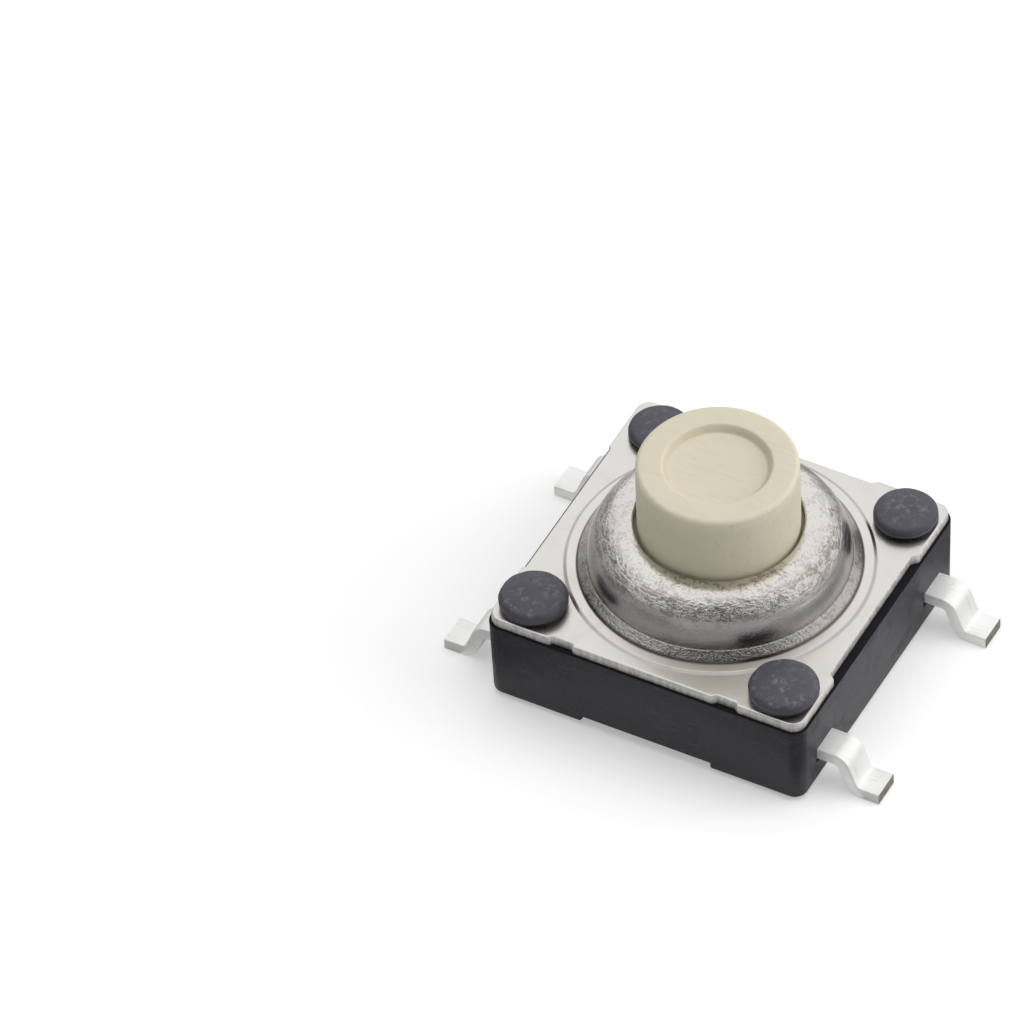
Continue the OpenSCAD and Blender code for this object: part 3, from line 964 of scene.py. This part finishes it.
@finish_named("Tin Plating")
def tin_plating(here, tones):
    """Bright tin plating with faint drawn lines."""
    lines, = drawn_lines(here, Size=0.55 * MM, Stretch=(1, 16, 1))
    patches = here.noise(0.35 * MM, 3.0, 0.6)
    height, _ = satin_grain(here, Size=0.04 * MM)
    dull = lines.ramp(0.5, 0.68) * patches.ramp(0.4, 0.7)
    return {"Base Color": (dull * 0.6).tint(tones.tin, tones.tin_dull),
            "Metallic": 0.4,
            "Roughness": patches.ramp(0.3, 0.7, 0.42, 0.52),
            "Normal": (height + lines).bumped(0.004 * MM, 0.6)}


@finish_named("Bare Cut Alloy")
def bare_cut_alloy(here, tones):
    """Bare alloy of a cut end: dull, brownish and torn by the shear."""
    lines, = drawn_lines(here, Size=0.25 * MM, Stretch=(1, 9, 1.2), Roughness=0.65)
    return {"Base Color": lines.ramp(0.4, 0.62).tint(tones.bare_cut, tones.tin_dull),
            "Metallic": 1.0,
            "Roughness": 0.5,
            "Normal": lines.bumped(0.008 * MM, 0.8)}


@finish_named("Seal Rubber")
def seal_rubber(here, tones):
    """Dull dark rubber."""
    cloud = here.noise(0.3 * MM, 3.0)
    return {"Base Color": cloud.tint(tones.rubber, tones.moulding_wear_and_sheen),
            "Roughness": 0.8,
            "Normal": cloud.bumped(0.004 * MM, 0.5)}


@finish_named("Spring Steel")
def spring_steel(here, tones):
    """Rolled spring steel."""
    lines, = drawn_lines(here, Size=0.6 * MM, Stretch=(1, 20, 1))
    return {"Base Color": lines.ramp(0.4, 0.7).tint(tones.spring, tones.tin),
            "Metallic": 1.0,
            "Roughness": lines.ramp(0.3, 0.7, 0.25, 0.38),
            "Normal": lines.bumped(0.003 * MM, 0.5)}


# Base

def base_solid(size):
    """The outer block of the base: rounded corners, leaning walls and a rounded foot."""
    outline = rounded_rect(BASE_HIGH.x - BASE_LOW.x, BASE_HIGH.y - BASE_LOW.y, size.corner_r)
    low = BASE_LOW.z
    profile = filleted([
        (size.draft + size.foot_r, low, 0), (size.draft, low, size.foot_r * 0.98),
        (0, BASE_TOP, size.top_edge), (size.top_edge * 2, BASE_TOP, 0)])
    bm = bmesh.new()
    rows = skirt(bm, outline, profile)
    cap(bm, [rows[0]])
    cap(bm, [rows[-1]])
    return finish_mesh(bm, "moulded_base")


def recess_outline(size):
    """An edge recess that is open at the wall towards -Y."""
    wall = BASE_HIGH.y
    half = size.recess_w / 2
    mouth = half + size.recess_flare / 2
    end = -wall + size.recess_l
    flare = size.recess_flare / 2 / size.recess_l * PAST
    return filleted([
        (-mouth - flare, -wall - PAST, 0), (mouth + flare, -wall - PAST, 0),
        (half, end, size.recess_corner_r), (-half, end, size.recess_corner_r)], True)


def base_cutters(size):
    """Everything that is moulded into the base as a hollow."""
    leads, inner = bpy.context.scene.switch_leads, bpy.context.scene.switch_inner
    low = BASE_LOW.z
    below, above = low - PAST, BASE_TOP + PAST
    floor = leads.strip_z + leads.thick
    cutters = [
        prism("chamber", circle(size.chamber_r, INNER_STEPS), floor, above),
        prism("seal_seat", circle(size.seal_seat_r, INNER_STEPS),
              BASE_TOP - inner.rim_t, above),
        prism("slot_rim", rounded_rect(size.slot_l, size.slot_w, size.slot_corner_r),
              below, low + size.slot_rim_d),
        prism("slot", rounded_rect(size.slot_l - 2 * size.slot_rim_w,
                                   size.slot_w - 2 * size.slot_rim_w,
                                   size.slot_corner_r - size.slot_rim_w / 2),
              below, low + size.slot_d),
    ]
    recess = recess_outline(size)
    for name, turn in (("front_recess", 1), ("rear_recess", -1)):
        outline = [(x * turn, y * turn) for x, y in recess]
        cutters.append(prism(name, outline, below, low + size.recess_d))
    for side in (-1, 1):
        for x, w in ((size.outer_pocket_x, size.outer_pocket_w),
                     (size.inner_pocket_x, size.inner_pocket_w)):
            outline = box_outline(side * x - w / 2, -size.pocket_l / 2,
                                  side * x + w / 2, size.pocket_l / 2)
            cutters.append(prism("pocket", outline, low, low + size.slot_d + size.pocket_d))
        wall = side * (BASE_HIGH.x - size.notch_d)
        beyond = side * (BASE_HIGH.x + PAST)
        half = leads.width / 2 + size.notch_gap
        for row in (-leads.row_y, leads.row_y):
            outline = box_outline(min(wall, beyond), row - half, max(wall, beyond), row + half)
            cutters.append(prism("notch", outline, leads.strip_z - size.notch_h, leads.strip_z))
    return cutters


class SWITCH_OT_base(bpy.types.Operator):
    """Builds the moulded base with its chamber, underside slot, recesses and notches"""
    bl_idname = "switch.build_base"
    bl_label = "Build Base"

    def execute(self, context):
        size = context.scene.switch_base
        made = combine(base_solid(size), base_cutters(size), "DIFFERENCE")
        dress(soften(made, size.edge), "Black Moulding")
        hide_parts("base")
        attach(made, HOUSING)
        return {"FINISHED"}


class SWITCH_OT_heads(bpy.types.Operator):
    """Stakes the four posts over the cover"""
    bl_idname = "switch.build_heads"
    bl_label = "Build Staked Heads"

    def execute(self, context):
        size = context.scene.switch_heads
        plate = BASE_TOP + context.scene.switch_cover.sheet_t
        top = BASE_HIGH.z + size.rise
        lip = plate + size.lift
        waist = size.radius - size.lip_in
        # Up the post, out over the plate, round the thin lip and over the crown
        section = filleted([
            (0, BASE_TOP - PAST, 0), (size.stem_r, BASE_TOP - PAST, 0),
            (size.stem_r, plate - 0.02 * MM, 0.01 * MM), (waist, plate - 0.02 * MM, 0.01 * MM),
            (waist, lip - 0.03 * MM, 0.02 * MM), (size.radius, lip, 0.015 * MM),
            (size.radius - 0.015 * MM, lip + 0.03 * MM, 0.015 * MM),
            (size.radius, lip + 0.10 * MM, 0.06 * MM),
            (size.radius * 0.9, top - size.crown * 0.7, size.rim_r),
            (size.radius * 0.5, top - size.crown * 0.2, size.radius * 0.5), (0, top, 0)])
        head = turned("staked_heads", section, HEAD_STEPS, "Staked Plastic")
        made = rebuilt(run_nodes(head, staked_tree(), {
            "Pitch X": 2 * (COVER_HIGH.x - size.inset), "Pitch Y": 2 * (COVER_HIGH.y - size.inset),
            "Spread": size.spread, "Wander": size.wander * 2, "Wander Size": 0.3 * MM,
            "Seed": size.seed, "Material": material("Staked Plastic")}), "Staked Plastic")
        for vertex in made.data.vertices:
            if vertex.co.x < 0 < vertex.co.y:
                vertex.co += Vector(size.shift)
        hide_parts("base")
        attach(made, HOUSING)
        return {"FINISHED"}


# Cover

def plate_outline(size):
    """Outline of the plate: corner lobes, set-back middles and relief notches."""
    soft = 0.06 * MM

    def cut(middle, span, depth):
        a, b = middle - span / 2, middle + span / 2
        return [(a, 0, soft), (a + depth, depth, soft), (b - depth, depth, soft), (b, 0, soft)]

    sides = [
        cut(-size.relief_x, size.relief_l, size.relief_d)
        + cut(size.relief_x, size.relief_l, size.relief_d),
        cut(0, size.side_cut_l, size.side_cut_d),
        cut(0, size.rear_cut_l, size.rear_cut_d),
        cut(0, size.side_cut_l, size.left_cut_d),
    ]
    corners = []
    for k, cuts in enumerate(sides):
        turn = Matrix.Rotation(math.radians(90 * k), 2)
        half, wall = (COVER_HIGH.x, COVER_HIGH.y) if k % 2 == 0 else (COVER_HIGH.y, COVER_HIGH.x)
        for along, depth, radius in [(-half, 0, size.corner_r)] + cuts:
            spot = turn @ Vector((along, depth - wall))
            corners.append((spot.x, spot.y, radius))
    return filleted(corners, True)


def dome_section(size):
    """Half section of the pressed dome, from the plate's top over the hole to its underside."""
    plate = BASE_TOP + size.sheet_t
    ring = plate + size.ring_h
    foot_out = size.dome_r + size.bead_w
    bead_top = ring + size.bead_h
    middle_x, middle_z = size.dome_r - size.shoulder_r, COVER_HIGH.z - size.shoulder_r

    def shoulder(radius):
        """The shoulder's arc up to the level collar round the hole."""
        return arc(middle_x, middle_z, radius, 0, math.degrees(size.collar_turn))

    outside, under = shoulder(size.shoulder_r), shoulder(size.shoulder_r - size.sheet_t)
    hole_top, hole_low = outside[-1][1] - size.collar_dip, under[-1][1]
    # In from the plate: ring, bead, wall, shoulder and collar, and back out along the underside
    outer = filleted([
        (size.ring_r + RING_MARGIN, plate, 0), (size.ring_r, plate, 0.01 * MM),
        (size.ring_top_r, plate + size.ring_step, 0.012 * MM),
        (foot_out, ring, 0.02 * MM), (foot_out - 0.02 * MM, ring + 0.05 * MM, 0.05 * MM),
        (size.dome_r, bead_top, 0.015 * MM), (*outside[0], 0)])
    outer += outside[1:-1]
    lip = filleted([
        (*outside[-1], 0), (size.hole_r, hole_top, size.hole_edge),
        (size.hole_r, hole_low, size.hole_edge / 3), (*under[-1], 0)])
    below = under[-2::-1] + [
        (size.dome_r - size.sheet_t, bead_top), (foot_out - size.sheet_t, ring - 0.12 * MM),
        (foot_out, ring - size.sheet_t), (size.ring_top_r, ring - size.sheet_t),
        (size.ring_r, BASE_TOP), (size.ring_r + RING_MARGIN, BASE_TOP)]
    return outer + lip + below


def plate_mesh(bm, size):
    """The flat plate round the dome, with rounded sheared edges and four post holes."""
    heads = bpy.context.scene.switch_heads
    top = BASE_TOP + size.sheet_t
    levels = (arc(size.burr_r, BASE_TOP + size.burr_r, size.burr_r, 270, 180)
              + arc(size.sheared_r, top - size.sheared_r, size.sheared_r, 180, 90))
    rows = skirt(bm, plate_outline(size), levels)
    tops, bottoms = [rows[-1]], [rows[0]]
    post_x, post_y = COVER_HIGH.x - heads.inset, COVER_HIGH.y - heads.inset
    hole_r = heads.stem_r + size.post_gap
    for at in ((-post_x, -post_y), (post_x, -post_y), (-post_x, post_y), (post_x, post_y)):
        low, high = skirt(bm, circle(hole_r, HOLE_STEPS, at), [(0, BASE_TOP), (0, top)])
        bottoms.append(low)
        tops.append(high)
    ring = circle(size.ring_r + RING_MARGIN, size.steps)
    tops.append([bm.verts.new((x, y, top)) for x, y in ring])
    bottoms.append([bm.verts.new((x, y, BASE_TOP)) for x, y in ring])
    cap(bm, tops)
    cap(bm, bottoms)


class SWITCH_OT_cover(bpy.types.Operator):
    """Presses the cover: the lobed plate and the dome, welded into one sheet"""
    bl_idname = "switch.build_cover"
    bl_label = "Build Cover"

    def execute(self, context):
        size = context.scene.switch_cover
        dome = run_nodes(chain("dome", dome_section(size)), turned_tree(),
                         {"Steps": size.steps, "Material": material("Satin Nickel")})
        bm = bmesh.new()
        bm.from_mesh(dome.data)
        bpy.data.objects.remove(dome)
        plate_mesh(bm, size)
        made = finish_mesh(bm, "pressed_cover", math.radians(50))
        dress(made, "Satin Nickel", "Sheared Edge")
        for face in made.data.polygons:
            outward = max(abs(face.center.x) / COVER_HIGH.x, abs(face.center.y) / COVER_HIGH.y)
            upright = abs(face.normal.z) < 0.72
            face.material_index = int(upright and outward > SHEARED_FROM)
        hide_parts("cover")
        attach(made, HOUSING)
        return {"FINISHED"}


# Plunger

def plunger_section(size):
    """Half section of the plunger, from its boss to the middle of the dish."""
    top = PLUNGER_HIGH.z
    flange_top = COVER_HIGH.z - bpy.context.scene.switch_cover.sheet_t - size.flange_gap
    flange_low = flange_top - size.flange_t
    flange_r = PLUNGER_HIGH.x
    return filleted([
        (0, PLUNGER_LOW.z, 0), (size.boss_r, PLUNGER_LOW.z, size.edge),
        (size.boss_r, flange_low, size.edge), (flange_r, flange_low, size.edge),
        (flange_r, flange_top, size.edge), (size.stem_r, flange_top, size.edge),
        (size.stem_r, top, size.edge_r), (size.dish_r, top, size.dish_edge),
        (size.dish_r - size.dish_taper, top - size.dish_d, size.dish_edge),
        (0, top - size.dish_d, 0)])


class SWITCH_OT_plunger(bpy.types.Operator):
    """Turns the ivory plunger with its dish, flange and boss"""
    bl_idname = "switch.build_plunger"
    bl_label = "Build Plunger"

    def execute(self, context):
        made = turned("ivory_plunger", plunger_section(context.scene.switch_plunger),
                      PLUNGER_STEPS, "Ivory Plastic")
        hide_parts("plunger")
        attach(made, PLUNGER_BODY)
        return {"FINISHED"}


# Leads

def strip_path(size):
    """Centreline of a row: foot, two bends, across the base, two bends, foot."""
    slope = math.degrees(size.slope)
    lean, fall = math.cos(size.slope), math.sin(size.slope)
    x0 = BASE_HIGH.x + size.out
    z0 = size.strip_z + size.thick / 2
    drop = z0 - size.thick / 2
    run = (drop - 2 * size.bend_r * (1 - lean)) / fall
    x1 = x0 + 2 * size.bend_r * fall + run * lean
    right = arc(x0, z0 - size.bend_r, size.bend_r, 90, 90 - slope)
    right += arc(x1, size.thick / 2 + size.bend_r, size.bend_r, 270 - slope, 270)
    right.append((x1 + size.foot_l, size.thick / 2))
    return [(-x, z) for x, z in reversed(right)] + right


def terminal_frame(name, node_name, row, tongues):
    """One frame: its swept strip with the contact tongues joined to it, bare at its cut ends."""
    size = bpy.context.scene.switch_leads
    strip = run_nodes(chain(name, strip_path(size)), strip_tree(), {
        "Width": size.width, "Thickness": size.thick, "Edge Radius": size.edge_r,
        "Row": row, "Material": material("Tin Plating")})
    made = rebuilt(combine(strip, tongues, "UNION"), "Tin Plating")
    made.data.materials.append(material("Bare Cut Alloy"))
    for face in made.data.polygons:
        face.material_index = int(abs(face.center.x) > FRONT_HIGH.x - WELD * 10)
    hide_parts(node_name)
    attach(made, HOUSING)
    return made


def tongue(size, x, width, row):
    """A contact tongue from a row's strip across the chamber floor."""
    side = 1 if row > 0 else -1
    near, far = side * (abs(row) - size.width / 4), -side * size.tongue_over
    outline = box_outline(x - width / 2, min(near, far), x + width / 2, max(near, far))
    return prism("tongue", outline, size.strip_z + TONGUE_INSET,
                 size.strip_z + size.thick - TONGUE_INSET)


class SWITCH_OT_leads(bpy.types.Operator):
    """Forms both terminal frames with their four gull-wing leads"""
    bl_idname = "switch.build_leads"
    bl_label = "Build Leads"

    def execute(self, context):
        size = context.scene.switch_leads
        outer = [tongue(size, side * size.outer_tongue_x, size.outer_tongue_w, -size.row_y)
                 for side in (-1, 1)]
        terminal_frame("front_leads", "terminal_frame_front", -size.row_y, outer)
        contact = prism("contact", circle(size.contact_r, HEAD_STEPS), size.strip_z + 0.05 * MM,
                        size.strip_z + size.thick + size.contact_h)
        centre = [tongue(size, 0, size.centre_tongue_w, size.row_y), contact]
        terminal_frame("rear_leads", "terminal_frame_rear", size.row_y, centre)
        return {"FINISHED"}


# Seal and snap disc

def seal_section(size, base):
    """Half section of the seal, with many points along its cone."""
    rim_z = BASE_TOP - size.rim_t
    rim_in = base.chamber_r - size.lip
    low = SEAL_LOW.z
    cone = [(size.button_r + (rim_in - size.button_r) * i / CONE_STEPS,
             low + (rim_z - low) * i / CONE_STEPS) for i in range(CONE_STEPS + 1)]
    back = [(x, z + size.sheet_t) for x, z in reversed(cone)]
    return ([(0, low)] + cone + [(SEAL_HIGH.x, rim_z), (SEAL_HIGH.x, BASE_TOP),
            (rim_in, BASE_TOP)] + back
            + [(size.button_r, low + size.button_t), (0, low + size.button_t)])


def disc_section(size):
    """Half section of the dished snap disc."""
    rim = DISC_HIGH.x
    height = DISC_HIGH.z - DISC_LOW.z
    sphere = (rim * rim + height * height) / (2 * height)
    inner = sphere - size.disc_t
    centre = DISC_HIGH.z - sphere
    outer_start = math.degrees(math.asin((DISC_LOW.z - centre) / sphere))
    inner_end = math.degrees(math.asin((DISC_LOW.z - centre) / inner))
    return (arc(0, centre, sphere, outer_start, 90, BOW_STEPS)
            + arc(0, centre, inner, 90, inner_end, BOW_STEPS) + [(rim, DISC_LOW.z)])


class SWITCH_OT_inner(bpy.types.Operator):
    """Makes the seal and the snap disc"""
    bl_idname = "switch.build_inner"
    bl_label = "Build Seal and Disc"

    def execute(self, context):
        size = context.scene.switch_inner
        base = context.scene.switch_base
        seal = turned("rubber_seal", seal_section(size, base), INNER_STEPS, "Seal Rubber")
        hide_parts("seal")
        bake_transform(seal)
        disc = turned("snap_disc", disc_section(size), INNER_STEPS, "Spring Steel")
        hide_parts("contact_dome")
        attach(disc, HOUSING)
        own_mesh(disc)
        return {"FINISHED"}


# Stage

def lamp(name, place, size, watts):
    """A soft square lamp aimed at the switch. Gloss shows the white room instead of it."""
    data = bpy.data.lights.new(name, "AREA")
    data.shape = "SQUARE"
    data.size = size
    data.energy = watts
    made = bpy.data.objects.new(name, data)
    made.location = place
    made.rotation_mode = "QUATERNION"
    made.rotation_quaternion = (LAMP_TARGET - Vector(place)).to_track_quat("-Z", "Y")
    made.visible_glossy = False
    bpy.context.scene.collection.objects.link(made)


def photo_camera(scene, stage):
    """The camera at the photo's place, turned and framed as there."""
    data = bpy.data.cameras.new("Photo Camera")
    data.sensor_width = 36
    data.lens = stage.lens_mm
    data.clip_start, data.clip_end = 5 * MM, 20000 * MM
    camera = bpy.data.objects.new("Photo Camera", data)
    turn = Matrix((CAMERA_RIGHT, CAMERA_UP, CAMERA_RIGHT.cross(CAMERA_UP))).transposed()
    camera.matrix_world = Matrix.Translation(Vector(stage.eye)) @ turn.to_4x4()
    scene.collection.objects.link(camera)
    scene.camera = camera


def seen_rays(tree):
    """One for camera, glossy and transmission rays, and nought for the rest."""
    rays = node(tree, "ShaderNodeLightPath").outputs
    camera, glossy, through = [Value(rays[f"Is {kind} Ray"]) for kind in
                               ("Camera", "Glossy", "Transmission")]
    return camera.math("MAXIMUM", glossy.math("MAXIMUM", through))


def white_room(scene, stage):
    """A world that shows plain white and lights matt surfaces a little less."""
    scene.world = bpy.data.worlds.new("White Room")
    scene.world.use_nodes = True
    tree = scene.world.node_tree
    tree.nodes.clear()
    strength = seen_rays(tree) * (1.0 - stage.sky) + stage.sky
    glow = value(tree, "ShaderNodeBackground", {"Color": (1, 1, 1, 1), "Strength": strength})
    node(tree, "ShaderNodeOutputWorld", {"Surface": glow})


def matt(tree, tone):
    """A matt surface of one grey tone."""
    return value(tree, "ShaderNodeBsdfDiffuse", {"Color": (tone, tone, tone, 1)})


def white_floor(stage):
    """White floor that keeps the object's shadow near it and is plain white further out."""
    made, tree, surface = blank_material("White Floor")
    here = value(tree, "ShaderNodeTexCoord", None, "Object")
    away = value(tree, "ShaderNodeVectorMath", {0: here}, "Value", operation="LENGTH")
    seen = seen_rays(tree)
    paint = matt(tree, stage.floor_albedo)
    fill = value(tree, "ShaderNodeEmission", {"Strength": seen * stage.floor_fill})
    near = value(tree, "ShaderNodeAddShader", {0: paint, 1: fill})
    white = value(tree, "ShaderNodeEmission", {"Strength": 1.0})
    plain = value(tree, "ShaderNodeMixShader", {0: seen, 1: paint, 2: white})
    far = away.ramp(stage.fade_start, stage.fade_end)
    feed(surface, value(tree, "ShaderNodeMixShader", {0: far, 1: near, 2: plain}))
    return made


def sheet(name, corners, faces, finish):
    """A flat or bent piece of the stage."""
    mesh = bpy.data.meshes.new(name)
    mesh.from_pydata(corners, [], faces)
    mesh.materials.append(finish)
    made = link(name, mesh)
    return made


def card(name, corners, faces, tone):
    """A matt card that the camera doesn't see, and that only shades and reflects."""
    finish, tree, surface = blank_material(name)
    feed(surface, matt(tree, tone))
    made = sheet(name, corners, faces, finish)
    made.visible_camera = False
    return made


def surround(stage):
    """A round wall of grey card on the camera's side, darker at its left."""
    middle = math.degrees(math.atan2(stage.eye[1], stage.eye[0]))
    for name, (start, end), tone in (("grey_left", LEFT_WALL, stage.left_tone),
                                     ("grey_right", RIGHT_WALL, stage.surround_tone)):
        foot = arc(0, 0, stage.surround_r, middle + start, middle + end)
        count = len(foot)
        corners = [(x, y, z) for z in (0, stage.surround_h) for x, y in foot]
        faces = [(i, i + 1, i + 1 + count, i + count) for i in range(count - 1)]
        card(name, corners, faces, tone)


def tray(stage):
    """A grey ring on the table round the switch, for reflections alone."""
    rings = circle(stage.tray_in, TRAY_STEPS) + circle(stage.surround_r, TRAY_STEPS)
    pairs = [(i, (i + 1) % TRAY_STEPS) for i in range(TRAY_STEPS)]
    faces = [(i, i + TRAY_STEPS, j + TRAY_STEPS, j) for i, j in pairs]
    made = card("grey_tray", [(x, y, TRAY_Z) for x, y in rings], faces, stage.tray_tone)
    made.visible_diffuse = made.visible_shadow = made.visible_transmission = False


def hood(stage):
    """A dark card round the lens, as the photographer's side of the room is dark."""
    toward = Vector(stage.eye).normalized()
    turn = toward.to_track_quat("Z", "Y")
    spots = [Vector((x * stage.hood_w, y * stage.hood_h, 0)) for x, y in circle(1, HOOD_STEPS)]
    corners = [turn @ spot + toward * HOOD_AWAY for spot in spots]
    card("dark_hood", corners, [tuple(range(len(corners)))], HOOD_TONE)


class SWITCH_OT_stage(bpy.types.Operator):
    """Sets the camera, lamps, white surroundings and floor"""
    bl_idname = "switch.build_stage"
    bl_label = "Build Stage"

    def execute(self, context):
        scene = context.scene
        stage = scene.switch_stage
        scene.view_settings.view_transform = "Standard"
        photo_camera(scene, stage)
        white_room(scene, stage)
        half = stage.floor_size / 2
        corners = [(x, y, 0) for x, y in box_outline(-half, -half, half, half)]
        sheet("floor", corners, [(0, 1, 2, 3)], white_floor(stage))
        surround(stage)
        hood(stage)
        tray(stage)
        lamp("Key Lamp", KEY_PLACE, stage.key_size, stage.key_w)
        lamp("Top Lamp", TOP_PLACE, stage.top_size, stage.top_w)
        return {"FINISHED"}


class SWITCH_PT_panel(bpy.types.Panel):
    """Lists the builders of the switch"""
    bl_idname = "SWITCH_PT_panel"
    bl_label = "Tactile Push Button Switch"
    bl_space_type = "VIEW_3D"
    bl_region_type = "UI"
    bl_category = "Switch"

    def draw(self, context):
        for name, label in GROUPS.items():
            box = self.layout.box()
            box.label(text=label)
            settings = getattr(context.scene, name)
            for key in settings.__annotations__:
                box.prop(settings, key)
        for operator in OPERATORS:
            self.layout.operator(operator.bl_idname)


GROUPS = {
    "switch_base": "Base",
    "switch_heads": "Staked Heads",
    "switch_cover": "Cover",
    "switch_plunger": "Plunger",
    "switch_leads": "Leads",
    "switch_inner": "Seal and Disc",
    "switch_finishes": "Finishes",
    "switch_stage": "Stage",
}
GROUP_CLASSES = (BaseSizes, HeadSizes, CoverSizes, PlungerSizes, LeadSizes, InnerSizes, Finishes,
                 StageSettings)
OPERATORS = (SWITCH_OT_base, SWITCH_OT_heads, SWITCH_OT_cover, SWITCH_OT_plunger,
             SWITCH_OT_leads, SWITCH_OT_inner, SWITCH_OT_stage)


def register():
    for kind in GROUP_CLASSES + OPERATORS + (SWITCH_PT_panel,):
        bpy.utils.register_class(kind)
    for name, kind in zip(GROUPS, GROUP_CLASSES):
        setattr(bpy.types.Scene, name, PointerProperty(type=kind))


def unregister():
    for name in GROUPS:
        delattr(bpy.types.Scene, name)
    for kind in reversed(GROUP_CLASSES + OPERATORS + (SWITCH_PT_panel,)):
        bpy.utils.unregister_class(kind)


def main():
    register()
    bpy.ops.switch.build_stage()
    bpy.ops.switch.build_base()
    bpy.ops.switch.build_heads()
    bpy.ops.switch.build_cover()
    bpy.ops.switch.build_plunger()
    bpy.ops.switch.build_leads()
    bpy.ops.switch.build_inner()


if __name__ == "__main__":
    main()
